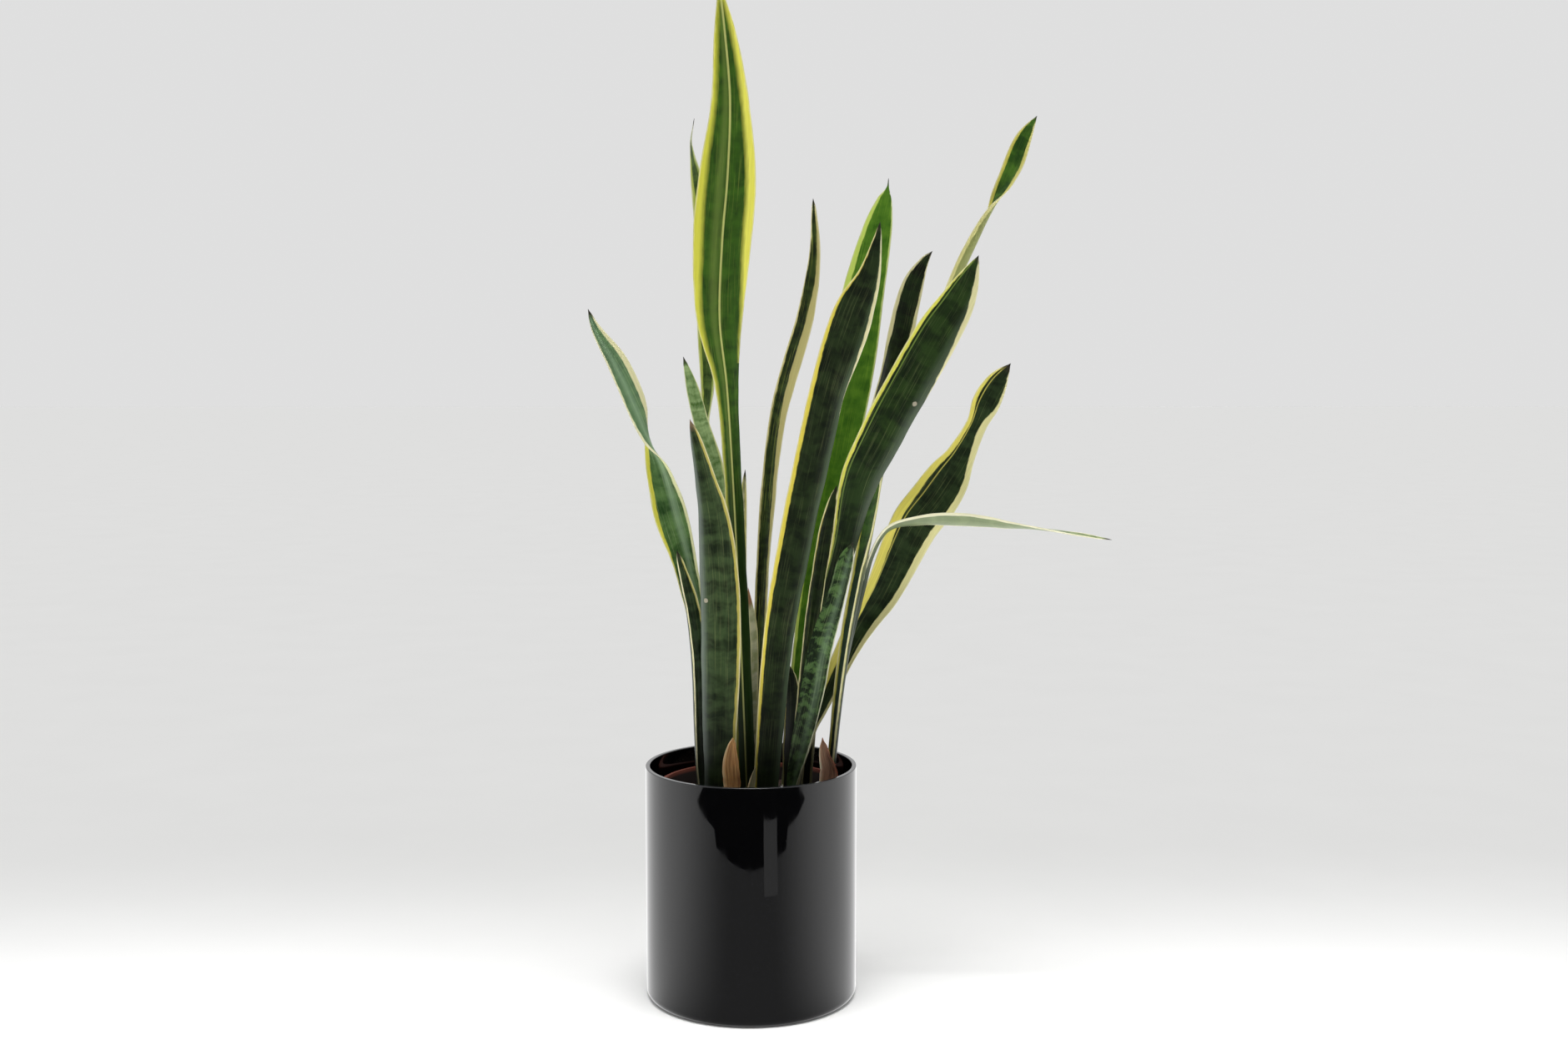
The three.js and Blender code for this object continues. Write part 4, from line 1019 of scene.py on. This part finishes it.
jagged = add_node(skin, "ShaderNodeMath", {0: reach, 1: swing}, operation="ADD")
band_reach = add_node(skin, "ShaderNodeMath", {0: jagged, 1: give["Band Length"]}, operation="DIVIDE")
band_across = add_node(skin, "ShaderNodeMath", {0: across, 1: give["Band Width"]}, operation="DIVIDE")
band_at = add_node(skin, "ShaderNodeCombineXYZ", {"X": band_across, "Y": band_reach, "Z": give["Seed"]})
bands = add_node(skin, "ShaderNodeTexNoise", {"Vector": band_at, "Scale": 1.0, "Detail": 2.5,
                                              "Roughness": 0.62})
low = add_node(skin, "ShaderNodeMath", {0: give["Band Middle"], 1: give["Band Softness"]},
               operation="SUBTRACT")
high = add_node(skin, "ShaderNodeMath", {0: give["Band Middle"], 1: give["Band Softness"]}, operation="ADD")
bands = add_node(skin, "ShaderNodeMapRange", {"Value": bands, "From Min": low, "From Max": high})
bands = add_node(skin, "ShaderNodeMath", {0: bands, 1: give["Band Share"]}, operation="MULTIPLY")
blotch_at = add_node(skin, "ShaderNodeVectorMath", {0: across_at, 1: (1 / 9, 1 / 24, 2.0)},
                     operation="MULTIPLY")
blotches = add_node(skin, "ShaderNodeTexNoise", {"Vector": blotch_at, "Scale": 1.0, "Detail": 4.0,
                                                 "Distortion": 0.9})
lighten = add_node(skin, "ShaderNodeMapRange", {"Value": blotches, "From Min": 0.3, "From Max": 0.7,
                                                "To Min": -0.3, "To Max": 0.35})
level = add_node(skin, "ShaderNodeMath", {0: bands, 1: lighten}, operation="ADD", use_clamp=True)
colour = add_node(skin, "ShaderNodeMix", {"Factor": level, "A": give["Light"], "B": give["Dark"]},
                  data_type="RGBA")
streak = add_node(skin, "ShaderNodeMapRange", {"Value": veins, "From Min": 0.55, "From Max": 0.7})
streak = add_node(skin, "ShaderNodeMath", {0: streak, 1: give["Streak Share"]}, operation="MULTIPLY")
colour = add_node(skin, "ShaderNodeMix", {"Factor": streak, "A": colour.outputs[2], "B": give["Streaks"]},
                  data_type="RGBA")
# Painted reflection: a paler lengthwise band of colour where the curved blade would mirror its bright
# surroundings.
from_painted_reflection = add_node(skin, "ShaderNodeMath", {0: on_blade["X"], 1: give["Sheen Place"]},
                      operation="SUBTRACT")
from_painted_reflection = add_node(skin, "ShaderNodeMath", {0: from_painted_reflection}, operation="ABSOLUTE")
painted_reflection = add_node(skin, "ShaderNodeMapRange", {"Value": from_painted_reflection, "From Min": 0.0,
                                              "From Max": give["Sheen Width"],
                                              "To Min": give["Sheen Share"], "To Max": 0.0},
                 interpolation_type="SMOOTHSTEP")
colour = add_node(skin, "ShaderNodeMix", {"Factor": painted_reflection, "A": colour.outputs[2], "B": give["Sheen"]},
                  data_type="RGBA")
# A crease or midline stripe, its width in millimetres.
stripe_at = add_node(skin, "ShaderNodeMath", {0: give["Stripe Place"], 1: widths["Z"]}, operation="MULTIPLY")
from_stripe = add_node(skin, "ShaderNodeMath", {0: across, 1: stripe_at}, operation="SUBTRACT")
from_stripe = add_node(skin, "ShaderNodeMath", {0: from_stripe}, operation="ABSOLUTE")
stripe_edge = add_node(skin, "ShaderNodeMath", {0: give["Stripe Width"], 1: 0.6}, operation="ADD")
stripe = add_node(skin, "ShaderNodeMapRange", {"Value": from_stripe, "From Min": give["Stripe Width"],
                                               "From Max": stripe_edge, "To Min": give["Stripe Share"],
                                               "To Max": 0.0})
back = add_node(skin, "ShaderNodeMapRange", {"Value": on_blade["Z"], "From Min": 0.05, "From Max": -0.05,
                                             "To Min": 0.0, "To Max": give["Back Share"]})
colour = add_node(skin, "ShaderNodeMix", {"Factor": back, "A": colour.outputs[2], "B": give["Back"]},
                  data_type="RGBA")
# Painted shade: below Lower Until the blade is painted towards the Lower colour, low among the other leaves.
lower = add_node(skin, "ShaderNodeMath", {0: give["Lower Until"], 1: jagged}, operation="SUBTRACT")
lower = add_node(skin, "ShaderNodeMapRange", {"Value": lower, "From Min": -60.0, "From Max": 60.0,
                                              "To Min": 0.0, "To Max": 0.9})
colour = add_node(skin, "ShaderNodeMix", {"Factor": lower, "A": colour.outputs[2], "B": give["Lower"]},
                  data_type="RGBA")
colour = add_node(skin, "ShaderNodeMix", {"Factor": stripe, "A": colour.outputs[2], "B": give["Stripe"]},
                  data_type="RGBA")
# Margins: their inner edge wobbles by up to 1 mm, with threads of yellow that run on into the green.
edge_at = add_node(skin, "ShaderNodeVectorMath", {0: across_at, 1: (0.35, 1 / 14, 9.0)}, operation="MULTIPLY")
wobble = add_node(skin, "ShaderNodeTexNoise", {"Vector": edge_at, "Scale": 1.0, "Detail": 4.0})
wobble = add_node(skin, "ShaderNodeMath", {0: wobble, 1: 0.5}, operation="SUBTRACT")
wobble = add_node(skin, "ShaderNodeMath", {0: wobble, 1: 2.6}, operation="MULTIPLY")
for side, edge_sign, edge_name in (("Left Margin", 1.0, "X"), ("Right Margin", -1.0, "Y")):
    from_edge = add_node(skin, "ShaderNodeMath", {0: on_blade["X"], 1: edge_sign}, operation="ADD")
    from_edge = add_node(skin, "ShaderNodeMath", {0: from_edge, 1: widths["Z"]}, operation="MULTIPLY")
    from_edge = add_node(skin, "ShaderNodeMath", {0: from_edge}, operation="ABSOLUTE")
    from_edge = add_node(skin, "ShaderNodeMath", {0: from_edge, 1: wobble}, operation="ADD")
    inside = add_node(skin, "ShaderNodeMath", {0: widths[edge_name], 1: from_edge}, operation="SUBTRACT")
    soft = add_node(skin, "ShaderNodeMath", {0: give["Margin Softness"], 1: -1.0}, operation="MULTIPLY")
    shown = add_node(skin, "ShaderNodeMapRange", {"Value": inside, "From Min": soft,
                                                  "From Max": give["Margin Softness"]})
    some = add_node(skin, "ShaderNodeMath", {0: widths[edge_name], 1: 0.3}, operation="GREATER_THAN")
    shown = add_node(skin, "ShaderNodeMath", {0: shown, 1: some}, operation="MULTIPLY")
    paler = add_node(skin, "ShaderNodeMapRange", {"Value": on_blade["Z"], "From Min": 0.05, "From Max": -0.05,
                                                  "To Min": 0.0, "To Max": give["Back Margin Share"]})
    margin = add_node(skin, "ShaderNodeMix", {"Factor": paler, "A": give[side], "B": give["Back Margin"]},
                      data_type="RGBA")
    # A pale cream line along the very edge: partly the margin's own paler edge, partly painted highlight
    # where the edge catches light.
    rim = add_node(skin, "ShaderNodeMapRange", {"Value": from_edge, "From Min": 0.3, "From Max": 1.8,
                                                "To Min": 0.6, "To Max": 0.0})
    margin = add_node(skin, "ShaderNodeMix", {"Factor": rim, "A": margin.outputs[2], "B": linear("#ece8c4")},
                      data_type="RGBA")
    colour = add_node(skin, "ShaderNodeMix", {"Factor": shown, "A": colour.outputs[2],
                                              "B": margin.outputs[2]},
                      data_type="RGBA")
# Browned tip.
browned = add_node(skin, "ShaderNodeMath", {0: jagged, 1: give["Brown From"]}, operation="SUBTRACT")
browned = add_node(skin, "ShaderNodeMapRange", {"Value": browned, "From Min": 0.0, "From Max": 8.0})
colour = add_node(skin, "ShaderNodeMix", {"Factor": browned, "A": colour.outputs[2], "B": give["Brown"]},
                  data_type="RGBA")
# One healed scar, about 5 mm across, where something grazed the skin.
scar_x = add_node(skin, "ShaderNodeMath", {0: across, 1: give["Scar Across"]}, operation="SUBTRACT")
scar_y = add_node(skin, "ShaderNodeMath", {0: reach, 1: give["Scar Reach"]}, operation="SUBTRACT")
scar_at = add_node(skin, "ShaderNodeCombineXYZ", {"X": scar_x, "Y": scar_y})
from_scar = add_node(skin, "ShaderNodeVectorMath", {0: scar_at}, operation="LENGTH").outputs["Value"]
from_scar = add_node(skin, "ShaderNodeMath", {0: wobble, 1: from_scar}, operation="ADD")
scar = add_node(skin, "ShaderNodeMapRange", {"Value": from_scar, "From Min": 2.0, "From Max": 3.0,
                                             "To Min": 0.9, "To Max": 0.0})
colour = add_node(skin, "ShaderNodeMix", {"Factor": scar, "A": colour.outputs[2], "B": linear("#b3ab94")},
                  data_type="RGBA")
tone = add_node(skin, "ShaderNodeMapRange", {"Value": veins, "From Min": 0.3, "From Max": 0.7,
                                             "To Min": 0.91, "To Max": 1.08})
# Darker towards the foot, down to 0.22 of the tone: partly the leaf's own dull base, partly painted shade low
# among the leaves.
dark_base_and_shade = add_node(skin, "ShaderNodeMapRange", {"Value": reach, "From Min": 50.0, "From Max": 230.0,
                                             "To Min": 0.22, "To Max": 1.0}, interpolation_type="SMOOTHSTEP")
tone = add_node(skin, "ShaderNodeMath", {0: tone, 1: dark_base_and_shade}, operation="MULTIPLY")
colour = add_node(skin, "ShaderNodeVectorMath", {0: colour.outputs[2], "Scale": tone}, operation="SCALE")
rough = add_node(skin, "ShaderNodeMapRange", {"Value": veins, "From Min": 0.3, "From Max": 0.7,
                                              "To Min": 0.32, "To Max": 0.46})
skin.links.new(colour.outputs["Vector"], group_out.inputs["Color"])
skin.links.new(rough.outputs[0], group_out.inputs["Roughness"])
skin.links.new(veins.outputs[0], group_out.inputs["Height"])

# How each leaf's skin departs from the pattern above, and its material slot. The Lower colours are
# painted shade on the lower blade, and the reflection values a painted reflection band.
GREEN, BRIGHT, MARBLED = "leaf_green", "leaf_bright", "leaf_marbled"
LEAF_SKINS = {
    # Painted light: brighter greens than the other leaves, partly its own colour and partly light shining
    # through the blade.
    "leaf_tall": (BRIGHT, {
        "Dark": "#173204", "Light": "#3a6210", "Lower": "#1e3411", "Lower Until": 400.0,
        "Left Margin": "#dad84a", "Right Margin": "#efeb60",
        "Stripe": "#c3c674", "Stripe Share": 0.9, "Stripe Width": 0.8, "Band Softness": 0.2,
        "Band Share": 0.6,
        "Sheen": "#6b8238", "Sheen Share": 0.6, "Sheen Place": -0.24, "Sheen Width": 0.26,
        "Margin Softness": 3.0, "Streak Share": 0.3, "Streaks": "#8a9a40",
    }),
    "leaf_slim_left": (GREEN, {
        "Dark": "#1f360b", "Light": "#4c6428", "Left Margin": "#a8b450", "Right Margin": "#8ea048",
    }),
    "leaf_marbled_left": (MARBLED, {
        "Dark": "#466a2c", "Light": "#98b278", "Band Length": 8.0, "Band Softness": 0.15,
        "Left Margin": "#b5c684",
        "Right Margin": "#c3cf7c",
    }),
    "leaf_front_left": (GREEN, {
        "Dark": "#15240d", "Light": "#3b4f2a", "Sheen": "#78837a", "Sheen Share": 0.75, "Sheen Place": -0.95,
        "Sheen Width": 0.45, "Right Margin": "#b9ad50", "Brown": "#7d6a50", "Brown From": 462.0,
        "Band Length": 13.0, "Band Softness": 0.12, "Scar Across": -15.0, "Scar Reach": 267.0,
    }),
    "leaf_twisted_left": (GREEN, {
        "Dark": "#1d4212", "Light": "#567a3e", "Left Margin": "#cfcb48", "Right Margin": "#dcdfa6",
        "Streak Share": 0.3, "Streaks": "#b4c08c", "Back": "#7d9a80", "Back Share": 0.3,
        "Back Margin Share": 0.85, "Sheen": "#9cb893", "Sheen Share": 0.45, "Sheen Place": 0.35,
        "Sheen Width": 0.4, "Band Softness": 0.16,
    }),
    "leaf_channelled_left": (GREEN, {
        "Dark": "#14240e", "Light": "#33472a", "Left Margin": "#cfcb8c", "Back": "#2b3b33",
        "Back Share": 0.85,
    }),
    "leaf_sliver": (GREEN, {"Dark": "#8d9068", "Light": "#c6c39c"}),
    "leaf_folded_middle": (GREEN, {
        "Dark": "#111d08", "Light": "#2e3f18", "Left Margin": "#cdc27a", "Right Margin": "#b9b070",
        "Streak Share": 0.75, "Streaks": "#929c48", "Back": "#8f8a58", "Back Share": 0.9,
    }),
    "leaf_brown_tipped": (MARBLED, {
        "Dark": "#a5ab7a", "Light": "#dad8b4", "Left Margin": "#d9d49a", "Brown": "#a87c5a",
        "Brown From": 258.0,
    }),
    "leaf_front_broad": (GREEN, {
        "Dark": "#0e1a07", "Light": "#233414", "Left Margin": "#e2d04c", "Right Margin": "#e2dca8",
        "Sheen": "#475a3e", "Sheen Share": 0.8, "Sheen Place": 0.9, "Sheen Width": 0.38, "Band Length": 17.0,
    }),
    # Painted light: brighter greens than the other leaves, partly its own colour and partly light shining
    # through the blade.
    "leaf_bright_back": (BRIGHT, {
        "Dark": "#285806", "Light": "#5a8a22", "Left Margin": "#d4ea6e", "Right Margin": "#c0da6c",
        "Streaks": "#86ac38", "Streak Share": 0.4, "Band Softness": 0.16, "Band Share": 0.5,
    }),
    "leaf_right_broad": (GREEN, {
        "Dark": "#0f2206", "Light": "#263f10", "Left Margin": "#e2de58", "Right Margin": "#e0dca4",
        "Stripe": "#7f9a40", "Stripe Share": 0.7, "Stripe Place": -0.7, "Stripe Width": 0.4,
        "Sheen": "#55624f", "Sheen Share": 0.7, "Sheen Place": 0.95, "Sheen Width": 0.6, "Band Length": 17.0,
        "Scar Across": 16.0, "Scar Reach": 512.0,
    }),
    "leaf_inner_channel": (GREEN, {"Dark": "#0b1805", "Light": "#1d2e0c"}),
    "leaf_banded_right": (MARBLED, {
        "Dark": "#10220a", "Light": "#4b6a34", "Band Length": 8.0, "Band Width": 14.0, "Teeth": 7.0,
        "Band Middle": 0.48, "Band Softness": 0.07, "Band Share": 1.0, "Right Margin": "#8ea080",
        "Streaks": "#8fa672", "Streak Share": 0.3, "Sheen": "#7f9a78", "Sheen Share": 0.35,
        "Sheen Place": 0.3,
        "Sheen Width": 0.55,
    }),
    "leaf_short_dark": (GREEN, {"Dark": "#0c1606", "Light": "#1e2a12"}),
    "leaf_bent_over": (MARBLED, {
        "Dark": "#5c6f44", "Light": "#8e9c68", "Left Margin": "#ece8c0", "Right Margin": "#eceacb",
        "Back": "#8c9a74", "Back Share": 0.75, "Lower": "#1b2921", "Lower Until": 350.0,
    }),
    "leaf_right_golden": (GREEN, {
        "Dark": "#0d1c05", "Light": "#26381a", "Left Margin": "#e9dd68", "Right Margin": "#e4dfa0",
        "Stripe": "#c9c05c", "Stripe Share": 0.8, "Stripe Place": -0.5, "Stripe Width": 0.3,
        "Back": "#8a9160",
    }),
    "leaf_far_right": (BRIGHT, {
        "Dark": "#1d400a", "Light": "#47701e", "Left Margin": "#d0c85a", "Right Margin": "#dcd678",
        "Back": "#a2a566", "Back Share": 0.8, "Lower": "#24352b", "Lower Until": 340.0,
    }),
    "leaf_dark_back": (GREEN, {
        "Dark": "#070f03", "Light": "#182a0b", "Left Margin": "#dcd5a0", "Right Margin": "#dcd5a0",
        "Back": "#66735a", "Back Share": 0.7,
    }),
}


def leaf_skin(name, length, seed, changes):
    """The living skin of one leaf: waxy cuticle over banded green, a soft gloss, and a painted reflection
    along the curve.
    """
    material, tree, shader = new_material(f"waxy_cuticle_{name}", Specular_IOR_Level=0.22)
    values = {key: linear(value) if isinstance(value, str) else value for key, value in changes.items()}
    pattern = tree.nodes.new("ShaderNodeGroup")
    pattern.node_tree = skin
    for key, value in {"Brown From": length - 3, **values, "Seed": seed}.items():
        pattern.inputs[key].default_value = value
    bump = add_node(tree, "ShaderNodeBump", {"Height": pattern.outputs["Height"], "Strength": 0.35,
                                             "Distance": 0.12 * MM})
    tree.links.new(pattern.outputs["Color"], shader.inputs["Base Color"])
    tree.links.new(pattern.outputs["Roughness"], shader.inputs["Roughness"])
    tree.links.new(bump.outputs["Normal"], shader.inputs["Normal"])
    return material


def face_outwards(mesh):
    """Turns a closed mesh right side out if the volume that its faces enclose comes out negative."""
    mesh.calc_loop_triangles()
    volume = 0.0
    for triangle in mesh.loop_triangles:
        a, b, c = (mesh.vertices[i].co for i in triangle.vertices)
        volume += a.dot(b.cross(c))
    if volume < 0:
        mesh.flip_normals()


for number, (name, stations) in enumerate(LEAVES.items()):
    slot_name, changes = LEAF_SKINS[name]
    leaf = place(f"blade_{name}", midrib(name, stations, BLADE_THICK_BASE, BLADE_THICK_TIP))
    run_tree(leaf, blade_tree, Sides=BLADE_SIDES, Ripple=BLADE_RIPPLE, Seed=float(number),
             Material=leaf_skin(name, reaches_along(stations)[-1], 11.3 * (number + 1), changes))
    face_outwards(leaf.data)
    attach(leaf, "root_ball")
    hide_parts(name)

# ---------------------------------------------------------------- dry sheaths
# The old papery sheaths that wrap the leaf bases, dead and dry: brown, curled and split lengthwise.
# They grow from the same rhizomes and stand loose at the soil.

SHEATH_THICK = 1.2
SHEATHS = {
    "dry_sheath_front": (("#6a4a2a", "#9c7646", "#b09c76"), [
        [-20, -80, 218, 14, 0, 50, 50, 3, 0],
        [-20, -80, 250, 18, 0, 50, 50, 4, 0],
        [-22, -80, 280, 21, 5, 55, 50, 4, 0],
        [-21, -80, 300, 13, 10, 50, 50, 3, 0],
        [-20, -79, 313, 1.5, 10, 20, 20, 0, 0],
    ]),
    "dry_sheath_small": (("#4d4a33", "#6c6a4e", "#b7ab8a"), [
        [-2, -62, 218, 10, 20, 40, 40, 1, 1],
        [0, -62, 250, 9, 20, 40, 40, 2, 1],
        [5, -62, 277, 1.5, 20, 20, 20, 1, 1],
    ]),
    "dry_sheath_right": (("#6e5140", "#b08a70", "#e2d2b4"), [
        [80, -26, 216, 16, -10, 50, 50, 1, 2],
        [85, -27, 246, 20, -5, 50, 50, 1, 2],
        [87, -28, 264, 21, 0, 50, 50, 2, 2],
        [83, -29, 282, 14, 10, 50, 50, 2, 2],
        [80, -30, 302, 1.5, 20, 20, 20, 1, 1],
    ]),
}


def sheath_skin(name, seed, shades):
    """Dead leaf sheath, dried in the air: matt, fibrous, streaked lengthwise and a little see-through."""
    dark, light, edge = shades
    material, tree, shader = new_material(f"air_dried_{name}", Roughness=0.78, Specular_IOR_Level=0.25,
                                          Subsurface_Weight=0.25, Subsurface_Scale=2 * MM)
    on_blade = add_node(tree, "ShaderNodeAttribute", attribute_name="skin").outputs["Vector"]
    on_blade = add_node(tree, "ShaderNodeSeparateXYZ", {"Vector": on_blade}).outputs
    fibre_at = add_node(tree, "ShaderNodeCombineXYZ", {"X": on_blade["X"], "Y": on_blade["Y"], "Z": seed})
    fibre_at = add_node(tree, "ShaderNodeVectorMath", {0: fibre_at, 1: (7.0, 1 / 35, 1.0)},
                        operation="MULTIPLY")
    fibres = add_node(tree, "ShaderNodeTexNoise", {"Vector": fibre_at, "Scale": 1.0, "Detail": 5.0})
    level = add_node(tree, "ShaderNodeMapRange", {"Value": fibres, "From Min": 0.35, "From Max": 0.66})
    colour = add_node(tree, "ShaderNodeMix", {"Factor": level, "A": linear(dark), "B": linear(light)},
                      data_type="RGBA")
    from_left = add_node(tree, "ShaderNodeMapRange", {"Value": on_blade["X"], "From Min": -0.6,
                                                      "From Max": -1.0})
    colour = add_node(tree, "ShaderNodeMix", {"Factor": from_left, "A": colour.outputs[2], "B": linear(edge)},
                      data_type="RGBA")
    bump = add_node(tree, "ShaderNodeBump", {"Height": fibres, "Strength": 0.8, "Distance": 0.4 * MM})
    tree.links.new(colour.outputs[2], shader.inputs["Base Color"])
    tree.links.new(bump.outputs["Normal"], shader.inputs["Normal"])
    return material


for number, (name, (shades, stations)) in enumerate(SHEATHS.items()):
    sheath = place(f"papery_{name}", midrib(name, stations, SHEATH_THICK, SHEATH_THICK))
    run_tree(sheath, blade_tree, Sides=24, Ripple=1.6 * MM, Ripple_Length=12 * MM, Seed=50.0 + number,
             Material=sheath_skin(name, 3.7 * (number + 1), shades))
    face_outwards(sheath.data)
    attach(sheath, "root_ball")
    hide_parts(name)

# ---------------------------------------------------------------- floor, light and camera
# A plain pale floor, soft light from all round with a darker side behind the camera, and one broad
# soft lamp overhead that brightens the floor round the pot.

FLOOR_HALF = 30.0
LAMP_HEIGHT = 2.6
LAMP_FORWARD = 0.65
LAMP_WIDTH = 2.6
LAMP_DEPTH = 0.9
LAMP_SPREAD = 40
LAMP_ENERGY = 13
WORLD_FRONT = 0.2
WORLD_BACK = 0.98
WORLD_SEEN = 0.74
CAMERA_LENS = 40.9
CAMERA_SENSOR = 36
CAMERA_DISTANCE = 2.0
CAMERA_HEIGHT = 0.717
CAMERA_TILT = 85
CAMERA_TURN = -1.077

# Matt white paint: no gloss, and a barely visible unevenness so that it isn't a flat tone.
paint, tree, shader = new_material("matt_white_floor_paint", Roughness=1.0, Specular_IOR_Level=0.0)
coords = add_node(tree, "ShaderNodeTexCoord").outputs["Object"]
patches = add_node(tree, "ShaderNodeTexNoise", {"Vector": coords, "Scale": 6.0, "Detail": 6.0})
colour = add_node(tree, "ShaderNodeMix", {"Factor": patches, "A": linear("#ededec"), "B": linear("#f1f1f0")},
                  data_type="RGBA")
tree.links.new(colour.outputs[2], shader.inputs["Base Color"])
floor_mesh = bpy.data.meshes.new("floor")
floor_mesh.from_pydata([(-FLOOR_HALF, -FLOOR_HALF, 0), (FLOOR_HALF, -FLOOR_HALF, 0),
                        (FLOOR_HALF, FLOOR_HALF, 0),
                        (-FLOOR_HALF, FLOOR_HALF, 0)], [], [(0, 1, 2, 3)])
floor = place("floor", floor_mesh, [paint])

world = bpy.data.worlds.new("soft_surroundings")
world.use_nodes = True
bpy.context.scene.world = world
tree = world.node_tree
around = add_node(tree, "ShaderNodeTexCoord").outputs["Generated"]
around = add_node(tree, "ShaderNodeSeparateXYZ", {"Vector": around}).outputs
front_side = add_node(tree, "ShaderNodeMapRange", {"Value": around["Y"], "From Min": -0.95, "From Max": -0.2,
                                                   "To Min": WORLD_FRONT, "To Max": WORLD_BACK},
                      interpolation_type="SMOOTHSTEP")
seen = add_node(tree, "ShaderNodeLightPath").outputs["Is Camera Ray"]
strength = add_node(tree, "ShaderNodeMix", {"Factor": seen, "A": front_side.outputs[0], "B": WORLD_SEEN})
tree.nodes["Background"].inputs["Color"].default_value = (1.0, 1.0, 1.0, 1.0)
tree.links.new(strength.outputs[0], tree.nodes["Background"].inputs["Strength"])

lamp_data = bpy.data.lights.new("overhead_softbox", "AREA")
lamp_data.shape = "RECTANGLE"
lamp_data.size = LAMP_WIDTH
lamp_data.size_y = LAMP_DEPTH
lamp_data.spread = math.radians(LAMP_SPREAD)
lamp_data.energy = LAMP_ENERGY
lamp = bpy.data.objects.new("overhead_softbox", lamp_data)
lamp.location = (0.0, -LAMP_FORWARD, LAMP_HEIGHT)
bpy.context.scene.collection.objects.link(lamp)


def reflected_card(name, outline, height, strength_at):
    """A low card that only reflections see: what the gloss shows in place of the bare floor."""
    mesh = bpy.data.meshes.new(name)
    mesh.from_pydata([(x * MM, y * MM, height) for x, y in outline], [], [tuple(range(len(outline)))])
    material = bpy.data.materials.new(name)
    material.use_nodes = True
    tree = material.node_tree
    tree.nodes.clear()
    coords = add_node(tree, "ShaderNodeTexCoord").outputs["Object"]
    coords = add_node(tree, "ShaderNodeSeparateXYZ", {"Vector": coords}).outputs
    sideways = add_node(tree, "ShaderNodeMath", {0: coords["X"]}, operation="ABSOLUTE")
    ahead = add_node(tree, "ShaderNodeMath", {0: coords["Y"], 1: -1.0}, operation="MULTIPLY")
    bearing = add_node(tree, "ShaderNodeMath", {0: sideways, 1: ahead}, operation="ARCTAN2")
    level = add_node(tree, "ShaderNodeMapRange", {"Value": bearing, "From Min": 0.3, "From Max": 1.5,
                                                  "To Min": strength_at[0], "To Max": strength_at[1]},
                     interpolation_type="SMOOTHSTEP")
    glow = add_node(tree, "ShaderNodeEmission", {"Strength": level})
    add_node(tree, "ShaderNodeOutputMaterial", {"Surface": glow})
    card = place(name, mesh, [material])
    card.visible_camera = False
    card.visible_diffuse = False
    card.visible_shadow = False
    card.visible_transmission = False


def on_floor(reach, bearing):
    """A point of the floor, by its reach from the pot's axis and its bearing from straight ahead."""
    return reach * math.sin(math.radians(bearing)), -reach * math.cos(math.radians(bearing))


# What the gloss shows of a room, in millimetres and degrees: a grey floor, a dark doorway across
# the front, the same on both sides, and a pale post in it to the right. A doorway corner holds its
# distance sideways and its distance in front of the pot's axis.
CARD_STEP = 0.4 * MM
FLOOR_CARD_HALF = 9000
DOORWAY_SILL = (350, 725)
DOORWAY_FRAME_FOOT = (480, 690)
DOORWAY_FRAME_CORNER = (575, 755)
DOORWAY_END = (940, 610)
DOORWAY_DEPTH = 4000
POST_NEAR = 600
POST_FAR = 1020
POST_LEFT = 12.5
POST_RIGHT = 26
FLOOR_GLOW = (0.34, 1.5)
DOORWAY_GLOW = (0.02, 0.02)
POST_GLOW = (0.6, 0.6)

floor_corners = [(-1, -1), (1, -1), (1, 1), (-1, 1)]
floor_outline = [(x * FLOOR_CARD_HALF, y * FLOOR_CARD_HALF) for x, y in floor_corners]
half_doorway = [DOORWAY_SILL, DOORWAY_FRAME_FOOT, DOORWAY_FRAME_CORNER, DOORWAY_END,
                (DOORWAY_END[0], DOORWAY_DEPTH)]
right_side = [(sideways, -ahead) for sideways, ahead in half_doorway]
left_side = [(-x, y) for x, y in reversed(right_side)]
doorway_outline = left_side + right_side
post_outline = [on_floor(POST_FAR, POST_LEFT), on_floor(POST_FAR, POST_RIGHT),
                on_floor(POST_NEAR, POST_RIGHT), on_floor(POST_NEAR, POST_LEFT)]
reflected_card("grey_floor_card", floor_outline, CARD_STEP, FLOOR_GLOW)
reflected_card("black_doorway_card", doorway_outline, 2 * CARD_STEP, DOORWAY_GLOW)
reflected_card("pale_post_card", post_outline, 3 * CARD_STEP, POST_GLOW)

camera_data = bpy.data.cameras.new("camera")
camera_data.lens = CAMERA_LENS
camera_data.sensor_width = CAMERA_SENSOR
camera = bpy.data.objects.new("camera", camera_data)
camera.location = (0.0, -CAMERA_DISTANCE, CAMERA_HEIGHT)
camera.rotation_euler = (math.radians(CAMERA_TILT), 0.0, math.radians(CAMERA_TURN))
bpy.context.scene.collection.objects.link(camera)
bpy.context.scene.camera = camera
bpy.context.scene.view_settings.view_transform = "Standard"
